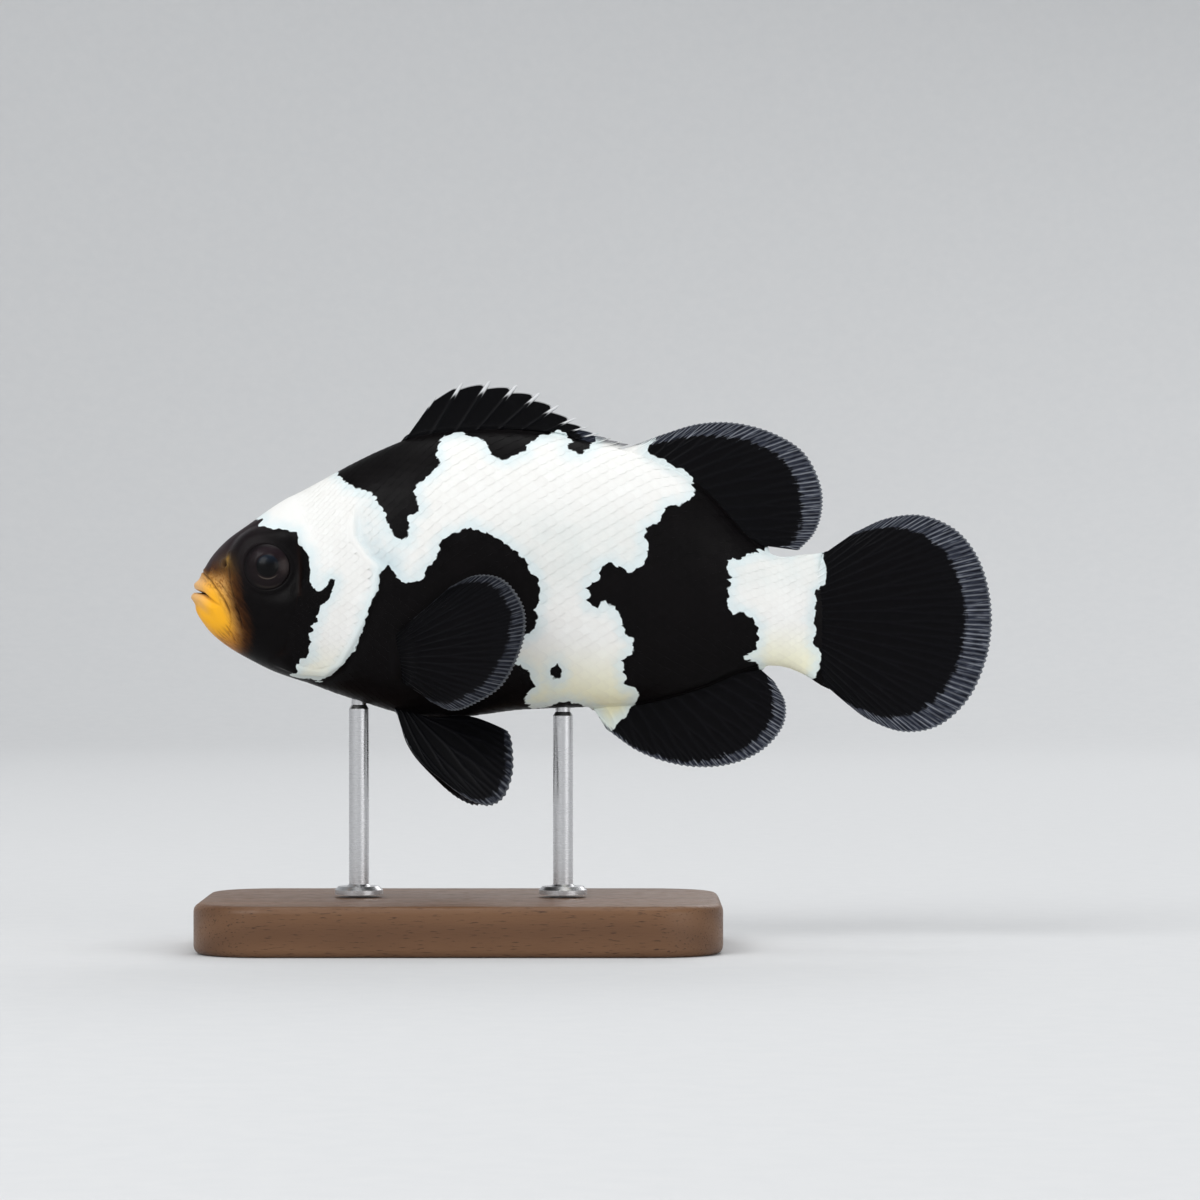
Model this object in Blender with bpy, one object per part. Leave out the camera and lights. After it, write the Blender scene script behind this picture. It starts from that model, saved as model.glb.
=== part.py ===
"""A life-size clownfish held level over a plain display stand.

The fish looks along -X with its left flank towards -Y. The origin is on the floor, under the middle of
its length. Shapes are worked out in millimetres from the fish's own origin, which is on its midplane,
halfway along it and at the height of its mouth, and turned into metres as they are placed.
"""

from math import cos, hypot, pi, radians, sin, tan

import bmesh
import bpy
import numpy as np
from mathutils import Matrix, Vector

MM = 0.001
GAP = 0.3  # between neighbouring solids
FISH_HEIGHT = 35.5  # the fish's origin above the floor

# Body ------------------------------------------------------------------------------------------
# x, height of the back, height of the belly, half width, height of the widest place
STATIONS = (
    (-39.95, -0.50, -0.70, 0.15, -0.6),
    (-39.75, 0.40, -1.70, 1.20, -0.7),
    (-39.20, 1.65, -2.75, 2.15, -0.7),
    (-38.10, 3.55, -4.15, 3.05, -0.7),
    (-36.50, 5.25, -5.45, 3.80, -0.6),
    (-34.30, 6.85, -6.75, 4.50, -0.4),
    (-31.30, 8.95, -8.20, 5.20, 0.0),
    (-27.30, 11.15, -9.65, 5.95, 0.4),
    (-22.80, 13.55, -11.15, 6.45, 0.8),
    (-18.10, 15.45, -12.40, 6.70, 1.0),
    (-12.80, 16.20, -12.50, 6.60, 1.2),
    (-7.30, 16.20, -11.85, 6.25, 1.2),
    (-1.30, 15.30, -11.60, 5.60, 1.0),
    (4.70, 13.80, -11.30, 4.70, 0.6),
    (10.70, 10.70, -9.80, 3.60, 0.0),
    (15.20, 6.00, -8.00, 2.70, -1.2),
    (18.20, 3.75, -7.45, 2.15, -2.0),
    (20.70, 3.80, -8.15, 1.60, -2.3),
    (22.90, 4.05, -9.50, 0.60, -2.6),
)
SECTION_POINTS = 28
HEAD_RINGS, TRUNK_RINGS, STALK_RINGS = 15, 20, 6
SNOUT_CROWDING = 1.7  # over 1 puts more of the head's rings near the snout
BACK_FULLNESS, BELLY_FULLNESS = 1.9, 2.2  # powers of the superellipse, 2 is an ellipse

NAPE_CUT = -26.3  # head meets trunk here, under the gill covers
STALK_CUT = 15.6  # trunk meets tail stalk here
BODY_START, BODY_END = STATIONS[0][0], STATIONS[-1][0]

# Eye, mouth and gill cover ---------------------------------------------------------------------
EYE = Vector((-32.3, 3.5, 2.6))
EYE_RADII = Vector((2.5, 2.0, 2.5))
EYE_TOE_OUT, EYE_TILT_UP = radians(10), radians(8)

JAW_OUTLINE = (
    (-41.5, -0.25), (-39.6, -0.25), (-38.3, -0.7), (-37.1, -1.45), (-36.0, -2.6),
    (-35.2, -4.2), (-34.6, -6.0), (-34.4, -8.5), (-41.5, -8.5),
)
JAW_BLANK_END, JAW_BLANK_RINGS = -33.0, 11  # the length of body that the jaw is cut from
GILL_COVER_OUTLINE = (
    (-27.6, 8.0), (-25.0, 8.6), (-23.4, 7.4), (-22.9, 5.4), (-21.6, 3.6), (-20.8, 1.4), (-21.1, -0.8),
    (-22.1, -3.4), (-23.8, -6.0), (-26.2, -7.6), (-28.6, -6.6), (-29.0, -3.0), (-28.8, 1.0), (-28.4, 5.0),
)
GILL_COVER_THICKNESS = 1.0
GILL_BLANK_START, GILL_BLANK_END, GILL_BLANK_RINGS = -32.0, -18.0, 12

# Display stand ---------------------------------------------------------------------------------
BASE_LENGTH, BASE_WIDTH, BASE_HEIGHT = 52.0, 32.0, 5.0
BASE_CORNER, BASE_CHAMFER = 7.0, 0.8
BASE_CORNER_STEPS = 7
BASE_CENTRE_X = -13.2
ROD_SPACING = 20.4
ROD_RADIUS, ROD_TIP_RADIUS = 1.0, 0.75
ROD_FOOT_RADIUS, ROD_FOOT_HEIGHT, ROD_FOOT_CHAMFER = 2.4, 0.8, 0.35
ROD_SHOULDER = 0.4  # the height of the cone below the tip
ROD_INSERT = 3.0  # how far a rod's tip goes into the belly
ROD_SIDES = 16


def smooth(points, at):
    """Points on the Catmull-Rom curve through points, at parameters from 0 to 1."""
    p = np.asarray(points, float)
    last = len(p) - 1
    padded = np.vstack([2 * p[0] - p[1], p, 2 * p[-1] - p[-2]])
    place = np.clip(np.asarray(at, float), 0, 1) * last
    i = np.minimum(place.astype(int), last - 1)
    t = (place - i)[..., None]
    a, b, c, d = (padded[i + k] for k in range(4))
    return 0.5 * (2 * b + (c - a) * t + (2 * a - 5 * b + 4 * c - d) * t**2 + (3 * b - a - 3 * c + d) * t**3)


BODY_SAMPLES = smooth(STATIONS, np.linspace(0, 1, 400))


def body_at(x):
    """Back, belly, half width and widest height of the body at x."""
    return [np.interp(x, BODY_SAMPLES[:, 0], BODY_SAMPLES[:, k]) for k in range(1, 5)]


def half_width_at(x, z):
    """Half width of the body at x and height z."""
    back, belly, half, middle = body_at(x)
    reach, power = (back - middle, BACK_FULLNESS) if z > middle else (middle - belly, BELLY_FULLNESS)
    share = min(abs(z - middle) / reach, 1.0)
    return half * (1 - share**power) ** (1 / power)


def belly_at(x, y):
    """Height of the underside of the body at x, at y from the midplane."""
    _, belly, half, middle = body_at(x)
    share = min(abs(y) / half, 1.0)
    return middle - (middle - belly) * (1 - share**BELLY_FULLNESS) ** (1 / BELLY_FULLNESS)


def section(x, grow=0.0):
    """The ring of body points at x, grown outwards by some millimetres."""
    back, belly, half, middle = body_at(x)
    ring = []
    for k in range(SECTION_POINTS):
        angle = 2 * pi * k / SECTION_POINTS
        across, up = sin(angle), cos(angle)
        power = BACK_FULLNESS if up > 0 else BELLY_FULLNESS
        reach = (back - middle if up > 0 else middle - belly) + grow
        y = (half + grow) * abs(across) ** (2 / power) * (1 if across > 0 else -1)
        z = middle + reach * abs(up) ** (2 / power) * (1 if up > 0 else -1)
        ring.append(Vector((x, y, z)))
    return ring


# Making objects --------------------------------------------------------------------------------
def material(name, colour, roughness, metallic=0.0):
    made = bpy.data.materials.new(name)
    made.use_nodes = True
    shader = made.node_tree.nodes["Principled BSDF"]
    shader.inputs["Base Color"].default_value = (*colour, 1.0)
    shader.inputs["Roughness"].default_value = roughness
    shader.inputs["Metallic"].default_value = metallic
    return made


def add_object(name, mesh_data, finish, lift=FISH_HEIGHT):
    """Turns millimetres into metres, lifts the shape off the floor and puts it in the scene."""
    bmesh.ops.recalc_face_normals(mesh_data, faces=mesh_data.faces)
    mesh = bpy.data.meshes.new(name)
    mesh_data.to_mesh(mesh)
    mesh_data.free()
    mesh.transform(Matrix.Scale(MM, 4) @ Matrix.Translation((0, 0, lift)))
    if finish:
        mesh.materials.append(finish)
    mesh.shade_smooth()
    mesh.set_sharp_from_angle(angle=radians(40))
    made = bpy.data.objects.new(name, mesh)
    bpy.context.scene.collection.objects.link(made)
    return made


def cutter(name, mesh_data):
    made = add_object(name, mesh_data, None)
    made.hide_render = True
    made.display_type = "WIRE"
    return made


def boolean(target, operation, tool):
    step = target.modifiers.new(f"{operation} {tool.name}", "BOOLEAN")
    step.operation = operation
    step.object = tool
    step.solver = "EXACT"


def loft(rings):
    """A closed skin over rings of points, with flat ends."""
    shape = bmesh.new()
    loops = [[shape.verts.new(p) for p in ring] for ring in rings]
    for ring, following in zip(loops, loops[1:]):
        for k, corner in enumerate(ring):
            beside = (k + 1) % len(ring)
            shape.faces.new((corner, ring[beside], following[beside], following[k]))
    shape.faces.new(loops[0])
    shape.faces.new(reversed(loops[-1]))
    return shape


def body_length(start, end, pieces, grow=0.0, ease=1.0):
    """The body from x = start to x = end. An ease over 1 crowds the rings towards the start."""
    along = (np.arange(pieces + 1) / pieces) ** ease
    return loft([section(x, grow) for x in start + (end - start) * along])


def grown(outline, by):
    """A closed outline with each point moved outwards."""
    p = np.asarray(outline, float)
    along = np.roll(p, -1, 0) - np.roll(p, 1, 0)
    out = np.column_stack([-along[:, 1], along[:, 0]]) / np.hypot(*along.T)[:, None]
    turning = np.sum(p[:, 0] * np.roll(p[:, 1], -1) - p[:, 1] * np.roll(p[:, 0], -1))
    return p + (by if turning < 0 else -by) * out


def side_prism(outline, near, far):
    """A side-view outline made solid from y = near to y = far."""
    return loft([[Vector((x, y, z)) for x, z in outline] for y in (near, far)])


# Head, trunk and tail stalk --------------------------------------------------------------------
def eye_solid(side, grow=0.0):
    shape = bmesh.new()
    bmesh.ops.create_uvsphere(shape, u_segments=16, v_segments=10, radius=1.0)
    turn = Matrix.Rotation(side * EYE_TOE_OUT, 4, "Z") @ Matrix.Rotation(side * EYE_TILT_UP, 4, "X")
    radii = Matrix.Diagonal((*(EYE_RADII + Vector((grow,) * 3)), 1))
    place = Matrix.Translation((EYE.x, side * EYE.y, EYE.z))
    shape.transform(place @ turn @ radii @ Matrix.Rotation(pi / 2, 4, "X"))
    return shape


def gill_plate(name, side, outline, inside, outside):
    """A plate of the body's side within outline. inside and outside are heights over the body's surface."""
    plate = cutter(name, side_prism(outline, side * 1.5, side * 12.0))
    start, end, rings = GILL_BLANK_START, GILL_BLANK_END, GILL_BLANK_RINGS
    skin = cutter(f"{name}_outside", body_length(start, end, rings, outside))
    core = cutter(f"{name}_inside", body_length(start - 1, end + 1, rings, inside))
    boolean(plate, "INTERSECT", skin)
    boolean(plate, "DIFFERENCE", core)
    return plate


def make_body(flesh, jaw_flesh):
    head_shape = body_length(BODY_START, NAPE_CUT - GAP / 2, HEAD_RINGS, ease=SNOUT_CROWDING)
    head = add_object("head", head_shape, flesh)
    trunk = add_object("trunk", body_length(NAPE_CUT + GAP / 2, STALK_CUT - GAP / 2, TRUNK_RINGS), flesh)
    add_object("tail_stalk", body_length(STALK_CUT + GAP / 2, BODY_END, STALK_RINGS), flesh)

    jaw_blank = body_length(BODY_START, JAW_BLANK_END, JAW_BLANK_RINGS, ease=SNOUT_CROWDING)
    jaw = add_object("lower_jaw", jaw_blank, jaw_flesh)
    boolean(jaw, "INTERSECT", cutter("jaw_shape", side_prism(grown(JAW_OUTLINE, -GAP), -8.0, 8.0)))
    boolean(head, "DIFFERENCE", cutter("jaw_space", side_prism(JAW_OUTLINE, -8.5, 8.5)))

    for side, word in ((-1, "left"), (1, "right")):
        cover = gill_plate(f"gill_cover_{word}", side, GILL_COVER_OUTLINE, -GILL_COVER_THICKNESS, 0.0)
        cover.data.materials.append(flesh)
        cover.hide_render = False
        cover.display_type = "TEXTURED"
        recess = gill_plate(
            f"gill_recess_{word}", side, grown(GILL_COVER_OUTLINE, GAP), -GILL_COVER_THICKNESS - GAP, 1.0
        )
        boolean(head, "DIFFERENCE", recess)
        boolean(trunk, "DIFFERENCE", recess)
        boolean(head, "DIFFERENCE", cutter(f"eye_socket_{word}", eye_solid(side, GAP)))
    return trunk


# Fins ------------------------------------------------------------------------------------------
def fin(name, root, edge, rays, rows, thickness, place, finish, notch=0.0, bow=0.0):
    """A fin of ribbed membrane. root and edge are side-view curves, read from its first ray to its last.

    thickness is (at the root, at the edge, extra on a ray). place turns x, z and the shares of the way
    out and from the first ray to the last into the point in the middle of the membrane and the direction
    across it. notch is how far the membrane's edge falls back between the tips of two rays, and bow how
    far the first and last rays bend apart, as a share of their length.
    """
    columns = 2 * rays - 1
    at_root = smooth(root, np.linspace(0, 1, columns))
    at_edge = smooth(edge, np.linspace(0, 1, columns))
    at_root_thick, at_edge_thick, ray_extra = thickness
    shape = bmesh.new()
    sides = ([], [])
    for i in range(columns):
        on_ray = i % 2 == 0
        along = i / (columns - 1)
        whole = at_edge[i] - at_root[i]
        aside = np.array((whole[1], -whole[0])) * bow * (1 - 2 * along)
        tip = at_edge[i] if on_ray else at_edge[i] - whole / hypot(*whole) * notch
        lines = ([], [])
        for j in range(rows + 1):
            out = j / rows
            x, z = at_root[i] + (tip - at_root[i]) * out + aside * sin(pi * out)
            middle, across = place(x, z, out, along)
            thick = at_root_thick + (at_edge_thick - at_root_thick) * out + ray_extra * on_ray * (1 - out)
            for line, way in zip(lines, (-1, 1)):
                line.append(shape.verts.new(middle + across * way * thick / 2))
        for side, line in zip(sides, lines):
            side.append(line)
    near, far = sides
    for i in range(columns - 1):
        for j in range(rows):
            for grid in (near, far):
                shape.faces.new((grid[i][j], grid[i + 1][j], grid[i + 1][j + 1], grid[i][j + 1]))
        for j in (0, rows):
            shape.faces.new((near[i][j], near[i + 1][j], far[i + 1][j], far[i][j]))
    for i in (0, columns - 1):
        for j in range(rows):
            shape.faces.new((near[i][j], near[i][j + 1], far[i][j + 1], far[i][j]))
    return add_object(name, shape, finish)


def on_midplane(x, z, out, along):
    return Vector((x, 0, z)), Vector((0, 1, 0))


def along_back(start, end, count):
    """Points just clear of the back, from x = start to x = end."""
    return [(x, body_at(x)[0] + GAP) for x in np.linspace(start, end, count)]


def along_belly(start, end, count):
    return [(x, body_at(x)[1] - GAP) for x in np.linspace(start, end, count)]


SPINE_TIPS = (
    (-15.7, 19.6), (-13.1, 20.9), (-10.3, 21.1), (-7.6, 20.7), (-5.3, 19.9),
    (-3.4, 18.7), (-1.7, 17.4), (-0.1, 16.1), (1.6, 15.2), (3.4, 14.75),
)
SOFT_DORSAL_EDGE = (
    (7.2, 15.6), (10.6, 16.6), (14.2, 16.7), (18.0, 15.7), (21.1, 13.6), (22.6, 10.6),
    (22.9, 8.2), (22.3, 6.0), (19.6, 4.3),
)
ANAL_EDGE = (
    (1.4, -13.8), (4.8, -16.1), (9.0, -17.4), (13.1, -17.4), (16.6, -16.1), (18.9, -13.7),
    (19.3, -11.2), (18.2, -9.0),
)
TAIL_EDGE = (
    (26.2, 6.0), (29.4, 7.4), (33.0, 7.7), (36.4, 6.2), (38.6, 3.4), (39.7, -0.1), (39.9, -3.6),
    (39.3, -7.0), (37.6, -10.7), (34.6, -13.4), (31.0, -14.0), (27.6, -12.8), (25.4, -11.2),
)


SPINY_THICKNESS = (1.3, 0.5, 0.3)  # of each fin: at the root, at the edge, extra on a ray
MEDIAN_THICKNESS = (1.2, 0.5, 0.25)
PAIRED_THICKNESS = (1.0, 0.5, 0.25)
SPINE_NOTCH, RAY_NOTCH = 1.1, 0.1


def make_midline_fins(finish):
    spines = len(SPINE_TIPS)
    fin("spiny_dorsal_fin", along_back(-17.9, 2.2, spines), SPINE_TIPS, spines, 3,
        SPINY_THICKNESS, on_midplane, finish, notch=SPINE_NOTCH)
    fin("soft_dorsal_fin", along_back(3.7, 16.4, 9), SOFT_DORSAL_EDGE, 15, 4,
        MEDIAN_THICKNESS, on_midplane, finish, notch=RAY_NOTCH)
    fin("anal_fin", along_belly(0.2, 16.9, 9), ANAL_EDGE, 13, 3,
        MEDIAN_THICKNESS, on_midplane, finish, notch=RAY_NOTCH)
    tail_root = [(BODY_END + GAP, z) for z in np.linspace(3.9, -9.3, 9)]
    fin("tail_fin", tail_root, TAIL_EDGE, 15, 5,
        MEDIAN_THICKNESS, on_midplane, finish, notch=RAY_NOTCH)


PECTORAL_ROOT = ((-18.9, -3.9), (-18.6, -5.4), (-18.4, -7.2), (-18.5, -9.0))
PECTORAL_EDGE = (
    (-14.0, 0.5), (-11.4, 1.65), (-8.7, 1.2), (-6.8, -1.2), (-6.5, -3.8), (-7.4, -6.7),
    (-9.0, -9.3), (-11.6, -11.0), (-13.8, -11.7), (-16.0, -10.8),
)
PECTORAL_LEAN = radians(27)
PECTORAL_CUP = 0.8
PELVIC_ROOT = ((-19.5, 1.7), (-17.6, 1.6), (-15.6, 1.4))  # x and distance from the midplane
PELVIC_EDGE = (
    (-14.7, -18.8), (-13.3, -19.9), (-11.8, -20.8), (-10.2, -21.2), (-8.8, -20.4), (-8.0, -18.4),
    (-7.9, -16.2), (-8.3, -14.1), (-9.6, -13.4),
)
PELVIC_BOW = 0.11
PELVIC_LEAN = {-1: radians(22), 1: radians(37)}  # out from upright: the right one is spread further
RIGHT_PELVIC_SWING = radians(12)  # and held a little further forward


def make_pectoral(side, word, finish):
    across = Vector((-sin(PECTORAL_LEAN), side * cos(PECTORAL_LEAN), 0))
    root_thickness = PAIRED_THICKNESS[0] + PAIRED_THICKNESS[2]
    clear = (GAP + root_thickness / 2) / cos(PECTORAL_LEAN)

    def place(x, z, out, along):
        start_x, start_z = smooth(PECTORAL_ROOT, along)
        cup = PECTORAL_CUP * sin(pi * out) * out
        y = half_width_at(start_x, start_z) + clear + (x - start_x) * tan(PECTORAL_LEAN) - cup
        return Vector((x, side * y, z)), across

    fin(f"pectoral_fin_{word}", PECTORAL_ROOT, PECTORAL_EDGE, 15, 4,
        PAIRED_THICKNESS, place, finish, notch=RAY_NOTCH)


def make_pelvic(side, word, finish):
    lean = PELVIC_LEAN[side]
    across = Vector((0, side * cos(lean), sin(lean)))
    root = [(x, belly_at(x, y) - GAP) for x, y in PELVIC_ROOT]
    shorter = cos(lean) / cos(PELVIC_LEAN[-1])
    swing = Matrix.Rotation(-RIGHT_PELVIC_SWING if side > 0 else 0.0, 2)
    pivot = Vector(root[0])
    edge = [pivot + swing @ Vector((x - pivot.x, (z - pivot.y) * shorter)) for x, z in PELVIC_EDGE]

    def place(x, z, out, along):
        _, start_z = smooth(root, along)
        _, start_y = smooth(PELVIC_ROOT, along)
        return Vector((x, side * (start_y + (start_z - z) * tan(lean)), z)), across

    fin(f"pelvic_fin_{word}", root, edge, 7, 5,
        PAIRED_THICKNESS, place, finish, bow=PELVIC_BOW)


# Stand -----------------------------------------------------------------------------------------
def make_base(finish):
    corners = []
    for k, (cx, cy) in enumerate(((1, 1), (-1, 1), (-1, -1), (1, -1))):
        for step in range(BASE_CORNER_STEPS + 1):
            angle = pi / 2 * (k + step / BASE_CORNER_STEPS)
            corners.append((
                BASE_CENTRE_X + cx * (BASE_LENGTH / 2 - BASE_CORNER) + BASE_CORNER * cos(angle),
                cy * (BASE_WIDTH / 2 - BASE_CORNER) + BASE_CORNER * sin(angle),
            ))
    slab = loft([[Vector((*corner, z)) for corner in corners] for z in (0, BASE_HEIGHT)])
    base = add_object("stand_base", slab, finish, lift=0.0)
    edge = base.modifiers.new("chamfer", "BEVEL")
    edge.width = BASE_CHAMFER * MM
    edge.segments = 2
    edge.limit_method = "ANGLE"
    edge.angle_limit = radians(60)


def rod_solid(x, foot, top, grow=0.0):
    """A turned rod with a chamfered foot disc and a slimmer tip."""
    foot_top = foot + ROD_FOOT_HEIGHT
    tip_start = top - ROD_INSERT - GAP
    profile = [
        (ROD_FOOT_RADIUS, foot), (ROD_FOOT_RADIUS, foot_top - ROD_FOOT_CHAMFER),
        (ROD_FOOT_RADIUS - ROD_FOOT_CHAMFER, foot_top), (ROD_RADIUS, foot_top),
        (ROD_RADIUS, tip_start - ROD_SHOULDER), (ROD_TIP_RADIUS, tip_start), (ROD_TIP_RADIUS, top),
    ]
    angles = [2 * pi * k / ROD_SIDES for k in range(ROD_SIDES)]
    return loft([
        [Vector((x + (r + grow) * cos(a), (r + grow) * sin(a), z)) for a in angles] for r, z in profile
    ])


def make_rods(trunk, finish):
    foot = BASE_HEIGHT + GAP - FISH_HEIGHT
    for way, word in ((-1, "front"), (1, "rear")):
        x = BASE_CENTRE_X + way * ROD_SPACING / 2
        top = body_at(x)[1] + ROD_INSERT
        add_object(f"stand_rod_{word}", rod_solid(x, foot, top), finish)
        boolean(trunk, "DIFFERENCE", cutter(f"rod_socket_{word}", rod_solid(x, foot, top + GAP, GAP)))


def main():
    for old in list(bpy.data.objects):
        bpy.data.objects.remove(old)
    black_skin = material("black_skin", (0.012, 0.011, 0.013), 0.4)
    orange_skin = material("orange_skin", (0.80, 0.36, 0.05), 0.42)
    fin_skin = material("fin_skin", (0.02, 0.02, 0.026), 0.45)
    eye_glass = material("eye_glass", (0.015, 0.012, 0.016), 0.08)
    walnut = material("walnut", (0.16, 0.085, 0.045), 0.45)
    steel = material("brushed_steel", (0.62, 0.62, 0.63), 0.28, 1.0)

    trunk = make_body(black_skin, orange_skin)
    for side, word in ((-1, "left"), (1, "right")):
        add_object(f"eye_{word}", eye_solid(side), eye_glass)
        make_pectoral(side, word, fin_skin)
        make_pelvic(side, word, fin_skin)
    make_midline_fins(fin_skin)
    make_base(walnut)
    make_rods(trunk, steel)


main()
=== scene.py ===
from math import cos, pi, radians, sin, tan

import bpy
import numpy as np
from mathutils import Matrix, Vector


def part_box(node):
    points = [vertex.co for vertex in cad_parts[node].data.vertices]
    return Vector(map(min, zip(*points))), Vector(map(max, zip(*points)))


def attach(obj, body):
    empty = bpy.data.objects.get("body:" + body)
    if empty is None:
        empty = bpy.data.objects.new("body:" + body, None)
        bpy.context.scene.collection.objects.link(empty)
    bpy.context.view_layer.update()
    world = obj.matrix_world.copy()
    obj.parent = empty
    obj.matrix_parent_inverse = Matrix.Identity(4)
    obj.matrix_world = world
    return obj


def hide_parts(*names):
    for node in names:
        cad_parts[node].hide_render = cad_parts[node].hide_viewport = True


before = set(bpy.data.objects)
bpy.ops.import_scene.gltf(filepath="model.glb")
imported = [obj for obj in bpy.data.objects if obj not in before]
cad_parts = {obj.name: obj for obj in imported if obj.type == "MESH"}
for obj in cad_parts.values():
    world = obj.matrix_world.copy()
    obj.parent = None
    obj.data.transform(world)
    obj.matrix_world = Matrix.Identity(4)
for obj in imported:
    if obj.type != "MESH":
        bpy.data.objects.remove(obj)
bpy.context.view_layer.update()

# --- Camera ---
# A long lens level with the fish's middle, square to its left flank. The left eye's solid gives the
# height of the fish's own origin, which every length in millimetres below is measured from.
MM = 0.001
EYE = Vector((-32.3, 3.5, 2.6))
eye_low, eye_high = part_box("eye_left")
FISH_HEIGHT = (eye_low.z + eye_high.z) / 2 / MM - EYE.z
VIEW_WIDTH = 120.0
LENS, SENSOR = 150.0, 36.0
AIM_BACK, AIM_DROP = 0.7, 0.8  # where the lens points: behind and under the fish's own origin

bpy.ops.object.select_all(action="DESELECT")
distance = VIEW_WIDTH * LENS / SENSOR
bpy.ops.object.camera_add(
    location=(AIM_BACK * MM, -distance * MM, (FISH_HEIGHT - AIM_DROP) * MM), rotation=(pi / 2, 0, 0)
)
camera = bpy.context.object
camera.data.lens = LENS
camera.data.sensor_width = SENSOR
camera.data.clip_start = 0.02
bpy.context.scene.camera = camera
bpy.context.scene.view_settings.view_transform = "Standard"


# --- Studio ---
# A round paper sweep: a pale floor that turns up into a wall with no edge, lit by large soft lamps
# from the upper front, the other front side, above and behind.
def feed(node, feeds):
    """Links a socket to each named input of a node, or sets that input's value."""
    for key, value in feeds.items():
        if isinstance(value, bpy.types.NodeSocket):
            node.id_data.links.new(value, node.inputs[key])
        else:
            node.inputs[key].default_value = value


def put(tree, kind, feeds=None, **settings):
    """A new shader node with its settings made and its inputs fed."""
    node = tree.nodes.new("ShaderNode" + kind)
    for name, value in settings.items():
        setattr(node, name, value)
    feed(node, feeds or {})
    return node


def own_place(tree):
    """Where each point lies in its own object."""
    return put(tree, "TexCoord").outputs["Object"]


def mixed(share, first, second):
    """The colour on the way from first to second; a colour given as numbers is opaque."""
    feeds = {0: share}
    for slot, colour in ((6, first), (7, second)):
        feeds[slot] = (*colour, 1) if isinstance(colour, tuple) else colour
    return put(share.id_data, "Mix", feeds, data_type="RGBA").outputs[2]


def grain(place, size, detail=3.0, roughness=0.5):
    """Noise with lumps of about the given size in millimetres."""
    feeds = {"Vector": place, "Scale": 1 / (size * MM), "Detail": detail, "Roughness": roughness}
    return put(place.id_data, "TexNoise", feeds).outputs["Fac"]


def new_material(name):
    """A material with its node tree and its Principled shader."""
    made = bpy.data.materials.new(name)
    made.use_nodes = True
    return made, made.node_tree, made.node_tree.nodes["Principled BSDF"]


def dress(piece, finish):
    piece.data.materials.clear()
    piece.data.materials.append(finish)


FLOOR_RADIUS, COVE, WALL_HEIGHT, COVE_STEPS = 0.70, 0.34, 0.9, 12  # metres, and the turn's steps
bpy.ops.mesh.primitive_circle_add(vertices=128, radius=FLOOR_RADIUS, fill_type="NGON")
sweep = bpy.context.object
sweep.name = "studio_sweep"
bpy.ops.object.mode_set(mode="EDIT")
bpy.ops.mesh.select_mode(type="EDGE")
bpy.ops.mesh.select_all(action="SELECT")
radius, height = FLOOR_RADIUS, 0.0
for step in range(1, COVE_STEPS + 2):
    turn = min(step / COVE_STEPS, 1.0) * pi / 2
    wider = FLOOR_RADIUS + COVE * sin(turn)
    higher = COVE * (1 - cos(turn)) if step <= COVE_STEPS else WALL_HEIGHT
    bpy.ops.mesh.extrude_edges_move(TRANSFORM_OT_translate={"value": (0, 0, higher - height)})
    bpy.ops.transform.resize(value=(wider / radius, wider / radius, 1), center_override=(0, 0, 0))
    radius, height = wider, higher
bpy.ops.object.mode_set(mode="OBJECT")
bpy.ops.object.shade_smooth()
paper, tree, shader = new_material("Paper sweep")
fibre = grain(own_place(tree), 3.0)
paper_colour = mixed(fibre, (0.62, 0.63, 0.64), (0.66, 0.665, 0.67))
feed(shader, {"Base Color": paper_colour, "Roughness": 0.9, "Specular IOR Level": 0.1})
dress(sweep, paper)

fish_middle = Vector((0, 0, FISH_HEIGHT * MM))
LAMPS = (  # name, place and side of the square in metres, power in watts
    ("key_lamp", (-0.42, -0.62, 0.62), 0.50, 4.3),
    ("fill_lamp", (0.62, -0.60, 0.22), 0.60, 2.6),
    ("top_lamp", (0.05, 0.05, 0.85), 0.60, 2.7),
    ("rim_lamp", (0.25, 0.70, 0.60), 0.50, 2.4),
)
for name, spot, side, power in LAMPS:
    aim = (fish_middle - Vector(spot)).to_track_quat("-Z", "Y").to_euler()
    bpy.ops.object.light_add(type="AREA", location=spot, rotation=aim)
    lamp = bpy.context.object
    lamp.name = name
    lamp.data.size = side
    lamp.data.energy = power
world = bpy.data.worlds.new("Soft room")
world.use_nodes = True
air = world.node_tree.nodes["Background"]
feed(air, {"Color": (0.95, 0.97, 1.0, 1), "Strength": 0.32})
bpy.context.scene.world = world

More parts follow.
